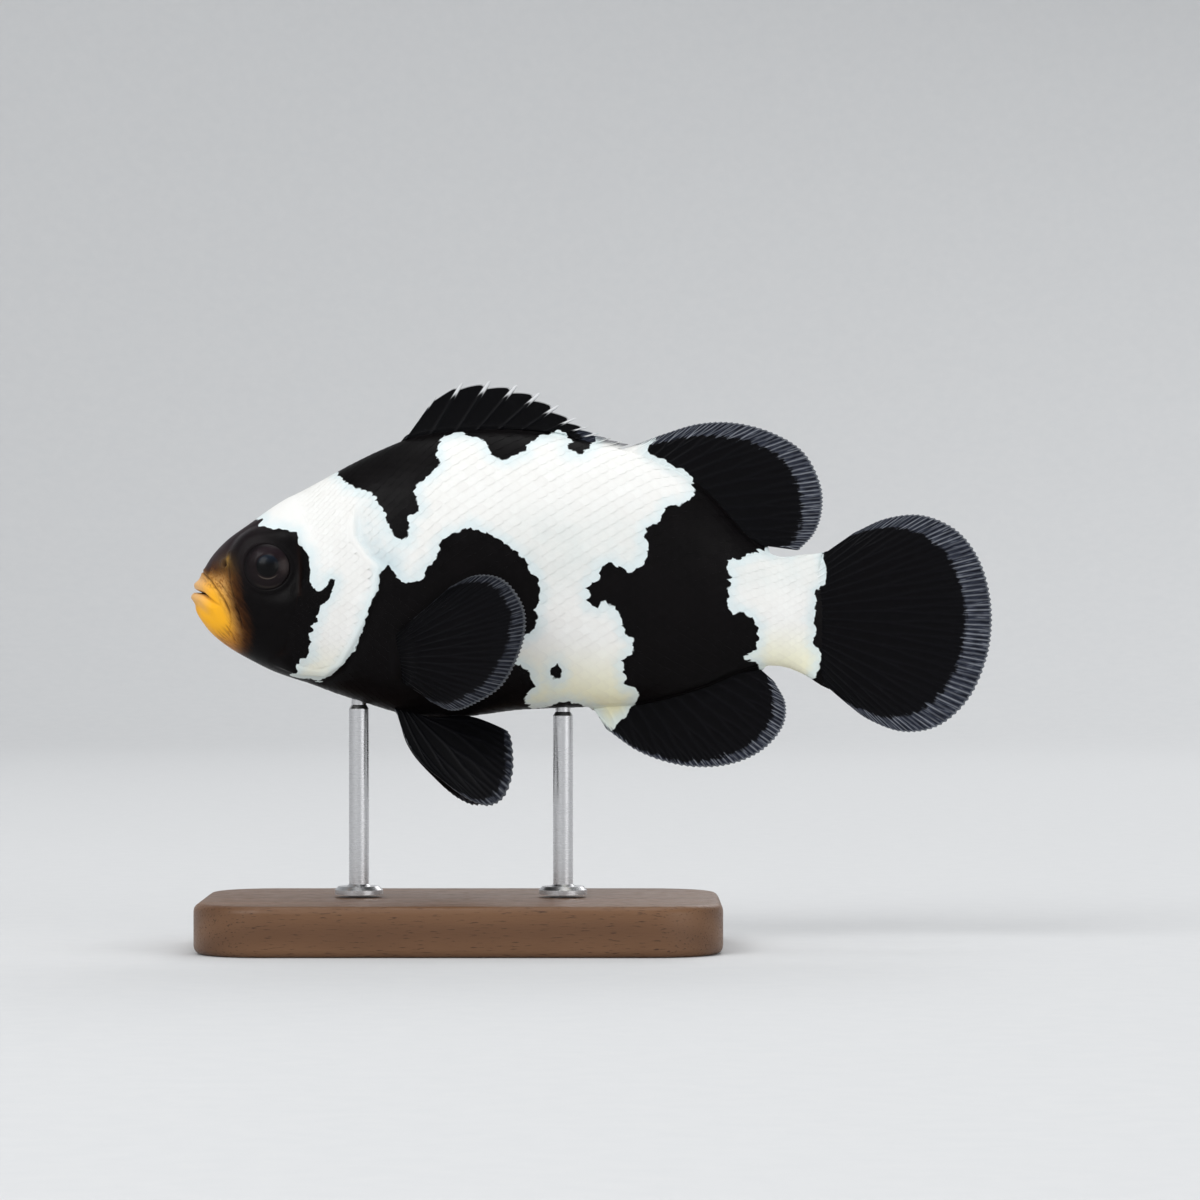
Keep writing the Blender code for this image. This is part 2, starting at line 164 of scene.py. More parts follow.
# --- Skin ---
# One closed skin from the lips to the root of the tail, over head, jaw, gill covers and body. It is
# laid on the same body curves as the solids, sunk where the scales lie, and carries the face's folds.
STATIONS = (  # x, back, belly, half width, height of the widest place
    (-39.95, -0.50, -0.70, 0.15, -0.6),
    (-39.75, 0.40, -1.70, 1.20, -0.7),
    (-39.20, 1.65, -2.75, 2.15, -0.7),
    (-38.10, 3.55, -4.15, 3.05, -0.7),
    (-36.50, 5.25, -5.45, 3.80, -0.6),
    (-34.30, 6.85, -6.75, 4.50, -0.4),
    (-31.30, 8.95, -8.20, 5.20, 0.0),
    (-27.30, 11.15, -9.65, 5.95, 0.4),
    (-22.80, 13.55, -11.15, 6.45, 0.8),
    (-18.10, 15.45, -12.40, 6.70, 1.0),
    (-12.80, 16.20, -12.50, 6.60, 1.2),
    (-7.30, 16.20, -11.85, 6.25, 1.2),
    (-1.30, 15.30, -11.60, 5.60, 1.0),
    (4.70, 13.80, -11.30, 4.70, 0.6),
    (10.70, 10.70, -9.80, 3.60, 0.0),
    (15.20, 6.00, -8.00, 2.70, -1.2),
    (18.20, 3.75, -7.45, 2.15, -2.0),
    (20.70, 3.80, -8.15, 1.60, -2.3),
    (22.90, 4.05, -9.50, 0.60, -2.6),
    (24.90, 4.70, -10.20, 0.14, -2.7),  # runs on over the root of the tail fin
)
BACK_FULLNESS, BELLY_FULLNESS = 1.9, 2.2
RINGS, ROUND = 900, 240  # samples of the body along its length, and from back to belly
ROUND_FIRST = 720  # steps from back to belly before they are spaced evenly
DORSAL_ROOT, ANAL_ROOT = (-18.4, 17.2), (0.2, 16.9)
COAT = 0.2  # depth of the scales


def smooth(points, at):
    """Points on the Catmull-Rom curve through points, at parameters from 0 to 1."""
    p = np.asarray(points, float)
    last = len(p) - 1
    padded = np.vstack([2 * p[0] - p[1], p, 2 * p[-1] - p[-2]])
    spot = np.clip(np.asarray(at, float), 0, 1) * last
    i = np.minimum(spot.astype(int), last - 1)
    t = (spot - i)[..., None]
    a, b, c, d = (padded[i + k] for k in range(4))
    square, cube = 2 * a - 5 * b + 4 * c - d, 3 * b - a - 3 * c + d
    return 0.5 * (2 * b + (c - a) * t + square * t**2 + cube * t**3)


def ease(value, start, end):
    """A smooth step from 0 at start to 1 at end, which may be the lower one."""
    t = np.clip((value - start) / (end - start), 0, 1)
    return t * t * (3 - 2 * t)


def bell(off, width):
    """1 at no distance, falling away on both sides over the given width."""
    return np.exp(-((off / width) ** 2))


ring_x, ring_back, ring_belly, ring_half, ring_middle = smooth(STATIONS, np.linspace(0, 1, RINGS)).T


def half_section(back, belly, half, middle):
    """Half a ring from back to belly at even arc lengths, its length, and the share where it is widest."""
    angle = np.linspace(0, pi, ROUND_FIRST + 1)
    up, out = np.cos(angle), np.sin(angle)
    power = 2 / np.where(up > 0, BACK_FULLNESS, BELLY_FULLNESS)
    reach = np.where(up > 0, back - middle, middle - belly)
    y, z = half * out**power, middle + reach * np.abs(up) ** power * np.sign(up)
    arc = np.concatenate([[0], np.cumsum(np.hypot(np.diff(y), np.diff(z)))])
    even = np.linspace(0, arc[-1], ROUND + 1)
    return np.interp(even, arc, y), np.interp(even, arc, z), arc[-1], arc[ROUND_FIRST // 2] / arc[-1]


halves = [half_section(*row) for row in zip(ring_back, ring_belly, ring_half, ring_middle)]
body_points = np.stack(
    [np.repeat(ring_x[:, None], ROUND + 1, 1), [h[0] for h in halves], [h[1] for h in halves]], -1
)
ring_length, ring_widest = (np.array([h[k] for h in halves]) for k in (2, 3))
body_normals = np.cross(np.gradient(body_points, axis=1), np.gradient(body_points, axis=0))
body_normals[:, [0, -1], 1] = 0
body_normals /= np.linalg.norm(body_normals, axis=-1, keepdims=True) + 1e-12
if body_normals[RINGS // 2, ROUND // 2, 1] < 0:
    body_normals = -body_normals
ring_along = np.concatenate(
    [[0], np.cumsum(np.linalg.norm(np.diff(body_points, axis=0), axis=-1).mean(1))]
)


def on_body(ring, share, side, height=0.0):
    """Points at a ring number and a share of the way from back to belly, some height over the body."""
    over = (share < 0) | (share > 1)
    share = np.where(share < 0, -share, np.where(share > 1, 2 - share, share))
    i = np.clip(ring.astype(int), 0, RINGS - 2)
    j = np.clip((share * ROUND).astype(int), 0, ROUND - 1)
    f, g = (ring - i)[..., None], (share * ROUND - j)[..., None]
    point, normal = (
        (t[i, j] * (1 - g) + t[i, j + 1] * g) * (1 - f) + (t[i + 1, j] * (1 - g) + t[i + 1, j + 1] * g) * f
        for t in (body_points, body_normals)
    )
    point = point + normal * np.broadcast_to(height, ring.shape)[..., None]
    point[..., 1] *= np.where(over, -side, side)
    return point


def low_ridge(x):
    """1 between the two dorsal fins, where the ridge along the back all but vanishes."""
    return ease(x, -2.5, -0.5) * ease(x, 8.0, 5.5)


def beside(points, line):
    """Distance from a side-view line, signed by the side of it, and the share of the way along it."""
    line = np.asarray(line, float)
    steps = np.diff(line, axis=0)
    lengths = np.hypot(*steps.T)
    starts = np.concatenate([[0], np.cumsum(lengths)])
    best = np.full(len(points), np.inf)
    signed, share = np.zeros(len(points)), np.zeros(len(points))
    for start, step, length, passed in zip(line, steps, lengths, starts):
        off = points - start
        t = np.clip(off @ step / length**2, 0, 1)
        gap = np.hypot(*(off - t[:, None] * step).T)
        side = np.sign(step[0] * off[:, 1] - step[1] * off[:, 0])
        near = gap < best
        best[near], signed[near] = gap[near], (gap * side)[near]
        share[near] = ((passed + t * length) / starts[-1])[near]
    return signed, share


def inside_by(points, outline):
    """How far points lie inside a closed side-view outline; negative outside."""
    start = np.asarray(outline, float)
    end = np.roll(start, -1, 0)
    best = np.full(len(points), np.inf)
    inside = np.zeros(len(points), bool)
    x, z = points.T
    for a, b in zip(start, end):
        step = b - a
        off = points - a
        t = np.clip(off @ step / (step @ step), 0, 1)
        best = np.minimum(best, np.hypot(*(off - t[:, None] * step).T))
        if a[1] != b[1]:
            inside ^= ((a[1] > z) != (b[1] > z)) & (x < step[0] * (z - a[1]) / step[1] + a[0])
    return np.where(inside, best, -best)


HEAD_BAR = (
    (-33.3, 6.6), (-32.95, 7.3), (-33.55, 7.0), (-33.8, 8.0), (-31.5, 12.5), (-26.0, 14.5),
    (-25.4, 11.7), (-24.3, 10.7), (-22.2, 9.9), (-20.7, 8.2), (-19.9, 6.0), (-19.5, 5.1), (-18.4, 5.0),
    (-16.8, 1.3), (-17.9, 0.8), (-19.0, 1.0), (-20.2, 2.5), (-20.9, 2.1), (-21.2, 0.2), (-22.2, -1.8),
    (-22.9, -4.2), (-23.6, -5.9), (-24.6, -7.1), (-26.0, -8.5), (-27.2, -9.0), (-29.2, -8.8),
    (-30.2, -8.3), (-29.4, -7.9), (-29.4, -7.0), (-28.2, -6.2), (-28.1, -4.4), (-27.4, -2.5),
    (-26.9, -1.2), (-26.1, -0.5), (-25.55, 0.7), (-25.7, 1.3), (-26.15, 1.15), (-26.2, 0.55),
    (-26.6, 0.05), (-27.3, -0.1), (-27.9, 1.0), (-28.0, 2.4), (-28.2, 3.8), (-29.2, 4.8), (-29.4, 5.8),
    (-30.9, 6.2), (-32.3, 6.2), (-32.9, 6.4),
)
MIDDLE_PATCH = (
    (-19.5, 5.1), (-18.4, 5.0), (-18.2, 6.2), (-18.5, 7.6), (-17.4, 7.8), (-17.2, 8.4), (-17.8, 9.4),
    (-17.7, 10.6), (-16.8, 11.3), (-15.3, 12.5), (-15.7, 13.5), (-15.6, 14.8), (-14.9, 15.7),
    (-13.4, 16.0), (-11.7, 15.6), (-10.5, 14.8), (-10.0, 13.7), (-8.8, 13.2), (-8.2, 13.4),
    (-6.9, 14.0), (-6.4, 15.1), (-5.0, 15.7), (-3.2, 16.2), (-2.6, 15.7), (-1.9, 14.9), (-2.8, 14.4),
    (-2.6, 14.0), (-1.1, 13.8), (-0.5, 14.4), (0.2, 15.2), (0.6, 17.0), (5.0, 17.0), (6.6, 16.0),
    (6.3, 15.2), (5.7, 14.7), (5.5, 14.1), (6.2, 13.6), (7.4, 13.2), (7.8, 12.6), (9.1, 12.3),
    (9.9, 11.4), (10.1, 9.7), (9.1, 8.6), (7.6, 8.7), (7.0, 8.1), (6.4, 6.7), (5.3, 6.5), (5.0, 5.4),
    (5.4, 4.4), (5.3, 3.4), (4.2, 2.0), (3.4, 1.9), (1.9, 2.9), (0.8, 2.6), (0.5, 1.1), (-0.3, 1.0),
    (-0.6, 0.4), (-0.4, -1.4), (0.3, -1.5), (1.1, -0.9), (2.0, -1.4), (2.8, -2.8), (3.2, -4.1),
    (4.1, -5.1), (4.0, -5.8), (2.9, -6.9), (2.9, -8.1), (3.3, -9.3), (4.3, -9.5), (4.6, -10.1),
    (4.3, -10.9), (3.6, -11.9), (3.1, -12.7), (2.5, -13.0), (1.7, -14.3), (0.3, -12.1), (-0.4, -11.7),
    (-1.5, -11.3), (-2.4, -10.9), (-3.7, -11.0), (-4.7, -11.5), (-6.1, -11.7), (-7.0, -11.0),
    (-6.9, -10.4), (-6.0, -9.5), (-6.2, -8.6), (-6.6, -7.7), (-7.5, -7.3), (-8.5, -6.6), (-8.2, -5.4),
    (-7.6, -4.4), (-6.3, -4.1), (-5.6, -3.4), (-5.8, -1.5), (-5.3, -0.8), (-5.4, 0.5), (-5.9, 1.5),
    (-6.6, 2.6), (-7.6, 3.8), (-8.6, 4.7), (-9.9, 5.3), (-11.1, 6.0), (-12.1, 6.5), (-13.2, 5.8),
    (-14.3, 5.8), (-15.1, 4.8), (-15.6, 3.3), (-16.5, 2.4), (-16.8, 1.3), (-17.9, 0.8), (-19.0, 1.0),
    (-20.2, 2.5),
)
STALK_PATCH = (
    (15.5, 3.9), (16.6, 4.3), (19.4, 4.1), (20.2, 6.5), (22.6, 6.5), (23.1, 3.4), (23.5, 2.0),
    (23.3, 0.8), (22.4, 0.1), (22.3, -1.5), (21.9, -2.6), (22.3, -4.0), (22.0, -5.1), (22.8, -6.1),
    (22.6, -7.7), (22.0, -8.6), (21.5, -10.5), (17.4, -10.0), (16.4, -7.1), (15.5, -7.0), (14.8, -6.3),
    (16.2, -5.7), (16.3, -4.7), (16.4, -3.5), (15.5, -2.4), (14.8, -2.0), (13.9, -2.1), (13.3, -1.0),
    (13.2, 0.4), (13.6, 1.1), (13.2, 2.4), (13.5, 3.6), (14.6, 3.4),
)
BLACK_SPOT = (-3.7, -8.0)


def white_at(points, outlines=(HEAD_BAR, MIDDLE_PATCH, STALK_PATCH)):
    """How far points lie inside the white patches. On the right side the outlines wander a little."""
    x, y, z = points.T
    right = np.clip(y / 2.5, 0, 1)
    wander_x, wander_z = 1.1 * np.sin(0.33 * z + 0.8), 0.9 * np.sin(0.27 * x + 1.1)
    flat = np.column_stack([x + wander_x * right, z + wander_z * right])
    patches = [inside_by(flat, outline) for outline in outlines]
    off_x, off_z = (flat - BLACK_SPOT).T
    hole = 0.7 - np.hypot(off_x / 0.85, off_z / 1.15)
    return np.minimum(np.max(patches, 0), -hole)


def blue_at(points):
    """From 0 to 1, how far the flesh shows through: in a strip behind the upper gill cover."""
    gap, along = beside(points[:, [0, 2]], GILL_EDGE)
    strip = ease(gap, -0.4, 0.3) * ease(gap, 3.6, 1.0)
    return strip * ease(points[:, 2], -1.5, 1.5) * ease(along, 0.0, 0.1)


MOUTH = ((-40.4, 0.25), (-39.3, 0.0), (-38.8, -0.15), (-38.2, -0.6), (-37.7, -1.0), (-37.1, -1.35))
CREASES = (  # depth, half width, side-view line; the first runs round the lip
    (0.12, 0.085, ((-39.4, 2.4), (-38.6, 1.65), (-38.1, 1.25), (-37.35, 0.3), (-36.5, -1.0), (-35.9, -2.3))),
    (0.08, 0.075, ((-37.4, 1.2), (-36.9, 0.7), (-36.3, -0.1), (-35.6, -1.0))),
    (0.07, 0.075, ((-36.6, -0.7), (-36.1, -1.7), (-35.9, -2.9), (-36.1, -3.7))),
    (0.09, 0.08, ((-35.5, -1.4), (-35.1, -2.0), (-34.9, -3.0), (-34.8, -3.9))),
    (0.07, 0.075, ((-35.8, -0.2), (-35.2, -0.9), (-34.8, -1.6))),
    (0.06, 0.08, ((-36.5, -3.2), (-35.9, -4.1), (-35.5, -5.0))),
    (0.10, 0.10, ((-36.0, 3.7), (-36.05, 2.3), (-35.95, 0.8), (-35.5, -1.0), (-35.1, -2.4), (-34.6, -4.1))),
    (0.06, 0.22, ((-29.3, 5.4), (-29.1, 2.4), (-29.0, -0.8), (-29.5, -3.4), (-30.3, -5.8), (-31.8, -6.6))),
)
GILL_EDGE = (
    (-23.3, 9.6), (-23.5, 7.5), (-23.4, 5.5), (-22.2, 3.6), (-20.9, 2.4), (-21.2, 0.2), (-21.5, -0.8),
    (-22.3, -2.8), (-23.3, -4.8), (-24.8, -7.4), (-26.6, -8.6), (-29.3, -8.3), (-32.2, -7.2),
)
NOSTRIL = (-36.55, 2.75)
LIP_OFF, CHIN_FOLD = 0.62, -1.45  # the lips' ridges and the fold under them, from the line of the mouth
ORBIT_PLANE, ORBIT_LEAN = 4.45, (0.10, 0.135)  # the eye's rim: distance from the midplane, lean
ORBIT_OPEN, ORBIT_RIM = (2.12, 1.82), 2.34  # radii: the opening's edge, where its wall starts and ends
EYE_DROP = 0.2  # how far under its solid's middle the glass eye sits
PECTORAL_BASE = (-19.3, -6.4)
SCALES_START = ((-9, -6, -3, 0, 3, 6, 9, 11), (-29.5, -31.0, -31.2, -28.9, -27.8, -28.6, -30.2, -31.2))


def scaled_at(x, z):
    """1 where the scales lie, 0 on the bare face."""
    front = np.interp(z, *SCALES_START)
    return ease(x - front, -0.4, 2.6)


def gill_step(points):
    """At the gill cover's edge: the height it adds, its thick rim's share, and how scales tuck under."""
    gap, along = beside(points[:, [0, 2]], GILL_EDGE)
    ends = ease(along, 0, 0.1) * ease(along, 1, 0.88)
    flap = 0.10 * ease(gap, 0, -0.15) * ease(gap, -2.2, -0.2)
    dip = 0.12 * ease(gap, -0.05, 0.12) * ease(gap, 1.6, 0.2)
    rim = ease(gap, -1.3, -0.5) * ease(gap, 0, -0.15)
    tuck = ease(gap, -0.3, 0.0) * ease(gap, 0.95, 0.4)
    return ends * (flap - dip), ends * rim, ends * tuck


def face_relief(points):
    """Height of the skin over the plain body at each point, and how deep in a crease it is, shown as painted
    shade.
    """
    x, y, z = points.T
    flat = points[:, [0, 2]]
    height = -COAT * scaled_at(x, z)
    crease = np.zeros(len(points))
    # The slit of the mouth, the two lips and the fold under them.
    gap, along = beside(flat, MOUTH)
    slit = bell(gap, 0.13)
    height -= np.interp(along, (0, 0.4, 0.62, 1), (0.95, 0.75, 0.25, 0.08)) * slit
    crease += slit * np.interp(along, (0, 0.4, 0.7, 1), (1.5, 0.8, 0.35, 0.1))
    lips = ease(x, -37.2, -38.8)
    height += lips * (0.24 * bell(np.abs(gap) - LIP_OFF, 0.36) - 0.10 * bell(gap - CHIN_FOLD, 0.30))
    # The creases of the face, each between two low folds of skin.
    for depth, width, line in CREASES:
        gap, along = beside(flat, line)
        fold = bell(gap, width) * ease(along, -0.02, 0.15) * ease(along, 1.02, 0.85)
        height += depth * (0.45 * bell(np.abs(gap) - 2.6 * width, 1.6 * width) - fold)
        crease += fold * min(depth / 0.12, 1.0) * 0.55
    step, rim, _ = gill_step(points)
    height += step + 0.14 * rim
    # The nostril, a hole with a raised rim.
    near = np.hypot(x - NOSTRIL[0], (z - NOSTRIL[1]) * 0.8)
    height += 0.10 * bell(near - 0.42, 0.14) - 0.28 * bell(near, 0.20)
    crease += bell(near, 0.20)
    # The eye's orbit: a leaning plane with a raised rim, sunk a millimetre where the glass eye shows.
    off_x, off_z = x - EYE.x, z - EYE.z + EYE_DROP
    r = np.hypot(off_x, off_z)
    rim_plane = ORBIT_PLANE + ORBIT_LEAN[0] * off_x - ORBIT_LEAN[1] * off_z
    height += ease(r, 4.5, 2.6) * (rim_plane - np.abs(y)) - ease(r, *ORBIT_OPEN)
    height += 0.10 * bell(r - ORBIT_RIM, 0.24)
    # The fleshy base of the pectoral fin, and the ridges that the dorsal and anal fins stand on.
    height += 0.30 * bell(x - PECTORAL_BASE[0], 0.9) * bell(z - PECTORAL_BASE[1], 2.6)
    (top_start, top_end), (low_start, low_end) = DORSAL_ROOT, ANAL_ROOT
    top = ease(x, top_start - 1.2, top_start) * ease(x, top_end + 0.6, top_end) * (1 - 0.8 * low_ridge(x))
    low = ease(x, low_start - 0.8, low_start) * ease(x, low_end + 0.6, low_end)
    height += 0.6 * np.exp(-np.abs(y) / 0.35) * np.where(z > 0, top, low)
    return height, np.clip(crease, 0, 1.5)


def laid_grid(name, across, along):
    """A flat grid one unit square, to be laid on a shape."""
    bpy.ops.object.select_all(action="DESELECT")
    bpy.ops.mesh.primitive_grid_add(x_subdivisions=across, y_subdivisions=along, size=1)
    piece = bpy.context.object
    piece.name = piece.data.name = name
    return piece


def points_of(piece):
    """The places of a piece's points, one row each."""
    points = np.empty(len(piece.data.vertices) * 3)
    piece.data.vertices.foreach_get("co", points)
    return points.reshape(-1, 3)


def move_points(piece, points):
    """Puts the points, given in millimetres from the fish's own origin, in their place in metres."""
    placed = (np.asarray(points) + (0, 0, FISH_HEIGHT)) * MM
    piece.data.vertices.foreach_set("co", placed.ravel())
    piece.data.update()


def carry(piece, **values):
    """Stores a number at each point under each name."""
    for name, numbers in values.items():
        made = piece.data.attributes.new(name, "FLOAT", "POINT")
        made.data.foreach_set("value", np.ascontiguousarray(numbers, dtype=np.float32))


def close_up():
    """Merges the active piece's seam, caps open ends and turns every face outwards."""
    bpy.ops.object.mode_set(mode="EDIT")
    bpy.ops.mesh.select_mode(type="VERT")
    bpy.ops.mesh.select_all(action="SELECT")
    bpy.ops.mesh.remove_doubles(threshold=0.0012 * MM)
    bpy.ops.mesh.select_all(action="DESELECT")
    bpy.ops.mesh.select_non_manifold()
    bpy.ops.mesh.fill_holes(sides=0)
    bpy.ops.mesh.select_all(action="SELECT")
    bpy.ops.mesh.normals_make_consistent(inside=False)
    bpy.ops.object.mode_set(mode="OBJECT")
    bpy.ops.object.shade_smooth()


SKIN_STEPS = (  # x, length of the skin's faces along the body
    (-39.95, 0.085), (-36.2, 0.085), (-34.5, 0.115), (-28.5, 0.135), (-26, 0.22), (-19.5, 0.24),
    (-17, 0.5), (30, 0.65),
)
SKIN_ROUND = 360
marks, here = [0.0], 0.0
while here < ring_along[-1]:
    here += np.interp(np.interp(here, ring_along, ring_x), *zip(*SKIN_STEPS))
    marks.append(min(here, ring_along[-1]))
skin_rings = np.interp(marks, ring_along, np.arange(RINGS))
skin = laid_grid("skin", SKIN_ROUND, len(skin_rings) - 1)
shares = points_of(skin)[:, :2] + 0.5
turn = shares[:, 0] * 2
ring = skin_rings[np.rint(shares[:, 1] * (len(skin_rings) - 1)).astype(int)]
move_points(skin, on_body(ring, np.where(turn <= 1, turn, 2 - turn), np.where(turn <= 1, -1, 1)))
close_up()
plain = points_of(skin) / MM - (0, 0, FISH_HEIGHT)
normals = np.empty(len(plain) * 3)
skin.data.vertex_normals.foreach_get("vector", normals)
height, crease = face_relief(plain)
move_points(skin, plain + normals.reshape(-1, 3) * height[:, None])

ORANGE_FACE = (
    (-42.0, 3.2), (-39.0, 2.9), (-38.2, 2.25), (-37.5, 1.95), (-36.9, 1.95), (-36.4, 1.9),
    (-35.9, 1.2), (-35.7, -0.2), (-35.5, -1.5), (-35.1, -2.6), (-34.8, -3.9), (-34.9, -5.2),
    (-35.3, -6.4), (-37.0, -9.0), (-42.0, -9.0),
)
flat = plain[:, [0, 2]]
x, z = flat.T
orange = inside_by(flat, ORANGE_FACE)
core = np.hypot((x + 37.7) / 2.5, (z + 1.7) / 2.9)
from_eye = np.hypot(x - EYE.x, z - EYE.z)
# Painted sheen: where grey-purple light is painted on the forehead and snout, fainter near the eye.
brow = ease(x, -30.5, -34.0) * ease(z, -0.5, 3.0) * (0.2 + 0.8 * ease(from_eye, 3.0, 5.5))
lip_gap, _ = beside(flat, MOUTH)
lip = 0.8 * ease(x, -37.7, -39.5) * ease(lip_gap, 2.1, 1.2) * ease(lip_gap, -1.9, -0.3)
LIP_GROOVE = CREASES[0][-1] + ((-35.3, -3.6), (-34.95, -4.9), (-35.2, -6.4), (-36.8, -9.5))
above_groove, _ = beside(flat, LIP_GROOVE)
orange = np.minimum(orange, 0.5 - 1.9 * above_groove + 4.0 * ease(x, -38.4, -37.2))
tawny = ease(above_groove, -0.9, 0.8)
gold = 0.35 * bell(x + 36.5, 0.9) * bell(z - 1.9, 1.3) + 0.65 * bell(x + 36.2, 0.28) * bell(z - 2.9, 0.55)
carry(
    skin, white=white_at(plain), orange=orange, core=1 - ease(core, 0.5, 1.45), brow=brow, crease=crease,
    lip=lip, gold=gold, tawny=tawny, blue=blue_at(plain),
)


def group(name, feeds, gives):
    """An empty shader node group with float inputs and the given outputs."""
    made = bpy.data.node_groups.new(name, "ShaderNodeTree")
    for label in feeds:
        made.interface.new_socket(label, in_out="INPUT", socket_type="NodeSocketFloat")
    for label, kind in gives.items():
        made.interface.new_socket(label, in_out="OUTPUT", socket_type=kind)
    return made, made.nodes.new("NodeGroupInput").outputs, made.nodes.new("NodeGroupOutput").inputs


def mapped(place, **change):
    """The place after a Mapping node's Location, Rotation or Scale."""
    return put(place.id_data, "Mapping", {"Vector": place, **change}).outputs[0]


def reckon(operation, *values):
    """The output of a Math node, in the tree of the first value that is a socket."""
    tree = next(value.id_data for value in values if isinstance(value, bpy.types.NodeSocket))
    return put(tree, "Math", dict(enumerate(values)), operation=operation).outputs[0]


def times(first, second):
    return reckon("MULTIPLY", first, second)


def rise(value, start, end, low=0.0, high=1.0):
    """A smooth step from low at start to high at end."""
    feeds = {"Value": value, "From Min": start, "From Max": end, "To Min": low, "To Max": high}
    return put(value.id_data, "MapRange", feeds, interpolation_type="SMOOTHSTEP").outputs[0]


# The white patches' colour over black skin: a crinkled edge, a pale blue rim inside it, a mottled
# painted shade over the middle of the flank and cream towards the belly. White is the distance inside
# the patch, Tone the lightness of one scale, Blue how far the flesh shows through behind the gill cover.
patches, given, wanted = group(
    "White patches", ("White", "Tone", "Blue"), {"Colour": "NodeSocketColor", "Mask": "NodeSocketFloat"}
)
place = own_place(patches)
cells = put(patches, "TexVoronoi", {"Vector": place, "Scale": 1 / (0.75 * MM)}).outputs["Distance"]
crinkle = reckon("MULTIPLY_ADD", cells, -0.34, 0.16)
waver = reckon("MULTIPLY_ADD", grain(place, 1.3, 2.0), 0.40, -0.20)
edge = reckon("ADD", reckon("ADD", given["White"], crinkle), waver)
mask = rise(edge, -0.03, 0.06)
own_mm = mapped(place, Location=(0, 0, -FISH_HEIGHT), Scale=(1 / MM, 1 / MM, 1 / MM))
along, _, up = put(patches, "SeparateXYZ", {0: own_mm}).outputs
low_stalk = times(rise(along, 12.0, 17.0, 0.0, 0.75), rise(up, -2.5, -7.5))
cream = reckon("MAXIMUM", rise(up, -4.0, -12.0), low_stalk)
# Painted shade: the middle of the flank is painted a mottled, greyer green-white.
flank = times(rise(up, 10.0, 5.0), rise(up, -1.5, 2.5))
flank = times(flank, rise(along, -12.0, -5.0))
mottle = grain(place, 2.2, 4.0, 0.6)
chalk = mixed(mottle, (0.83, 0.823, 0.79), (0.888, 0.897, 0.88))
flank = times(flank, rise(mottle, 0.3, 0.7, 0.2, 0.45))
chalk = mixed(flank, chalk, (0.60, 0.66, 0.64))
chalk = mixed(times(cream, 0.9), chalk, (0.88, 0.855, 0.57))
rim = rise(edge, 1.5, 0.0)
chalk = mixed(times(rim, 0.8), chalk, (0.68, 0.79, 0.81))
dusk = reckon("MULTIPLY_ADD", given["Tone"], 0.06, 0.06)
chalk = mixed(dusk, chalk, (0.62, 0.58, 0.55))
glassy = times(given["Blue"], rise(mottle, 0.25, 0.65, 0.25, 0.75))
chalk = mixed(glassy, chalk, (0.58, 0.69, 0.72))
soot = grain(place, 2.5, 5.0, 0.6)
jet = mixed(soot, (0.0013, 0.0012, 0.0014), (0.0038, 0.0029, 0.0032))
patches.links.new(mixed(mask, jet, chalk), wanted["Colour"])
patches.links.new(mask, wanted["Mask"])


def value_of(tree, name):
    """A number that the mesh carries at each point."""
    return put(tree, "Attribute", attribute_name=name).outputs["Fac"]


def patched(tree, *names):
    """The white patches' outputs, with the group's inputs of these names fed from the mesh."""
    feeds = {name: value_of(tree, name.lower()) for name in names}
    return put(tree, "Group", feeds, node_tree=patches).outputs


def ridged(height, strength, deep):
    """The normals of a fine relief, its depth in millimetres."""
    feeds = {"Height": height, "Strength": strength, "Distance": deep * MM}
    return put(height.id_data, "Bump", feeds).outputs[0]


skin_finish, tree, shader = new_material("Fish skin")
place = own_place(tree)
plain_skin = patched(tree, "White", "Blue")
speckle = grain(place, 0.35, 5.0, 0.65)
wrinkles_lie = mapped(mapped(place, Rotation=(0, radians(-54), 0)), Scale=(0.12, 1, 1))
wrinkle = grain(wrinkles_lie, 0.22, 3.0, 0.6)
core, above_groove = value_of(tree, "core"), value_of(tree, "tawny")
face = mixed(core, (0.48, 0.19, 0.028), (1.0, 0.47, 0.014))
face = mixed(times(speckle, 0.22), face, (0.84, 0.45, 0.12))
face = mixed(times(above_groove, 0.75), face, (0.56, 0.31, 0.11))
tight = times(core, reckon("SUBTRACT", 1.0, above_groove))
# Painted shade in fine wrinkles that run slanting along the jaw; the mesh has no such wrinkles.
painted_wrinkle_shade = times(rise(wrinkle, 0.45, 0.62, 0.0, 0.8), reckon("SUBTRACT", 1.0, tight))
face = mixed(painted_wrinkle_shade, face, (0.22, 0.075, 0.010))
fuzz = reckon("MULTIPLY_ADD", wrinkle, 1.4, -0.78)
orange_edge = reckon("ADD", value_of(tree, "orange"), fuzz)
# The forehead's painted sheen: a grey-purple painted light laid over the black skin.
brow_skin = mixed(speckle, (0.017, 0.011, 0.013), (0.046, 0.033, 0.038))
brow_skin = mixed(value_of(tree, "brow"), plain_skin["Colour"], brow_skin)
dark_skin = mixed(plain_skin["Mask"], brow_skin, plain_skin["Colour"])
golden = times(value_of(tree, "gold"), rise(wrinkle, 0.30, 0.60, 0.5, 1.0))
dark_skin = mixed(golden, dark_skin, (0.42, 0.24, 0.055))
russet = mixed(rise(orange_edge, -1.5, 0.1, 0.0, 0.8), dark_skin, (0.075, 0.026, 0.006))
colour = mixed(rise(orange_edge, -0.5, 1.1), russet, face)
colour = mixed(value_of(tree, "lip"), colour, (0.76, 0.47, 0.22))
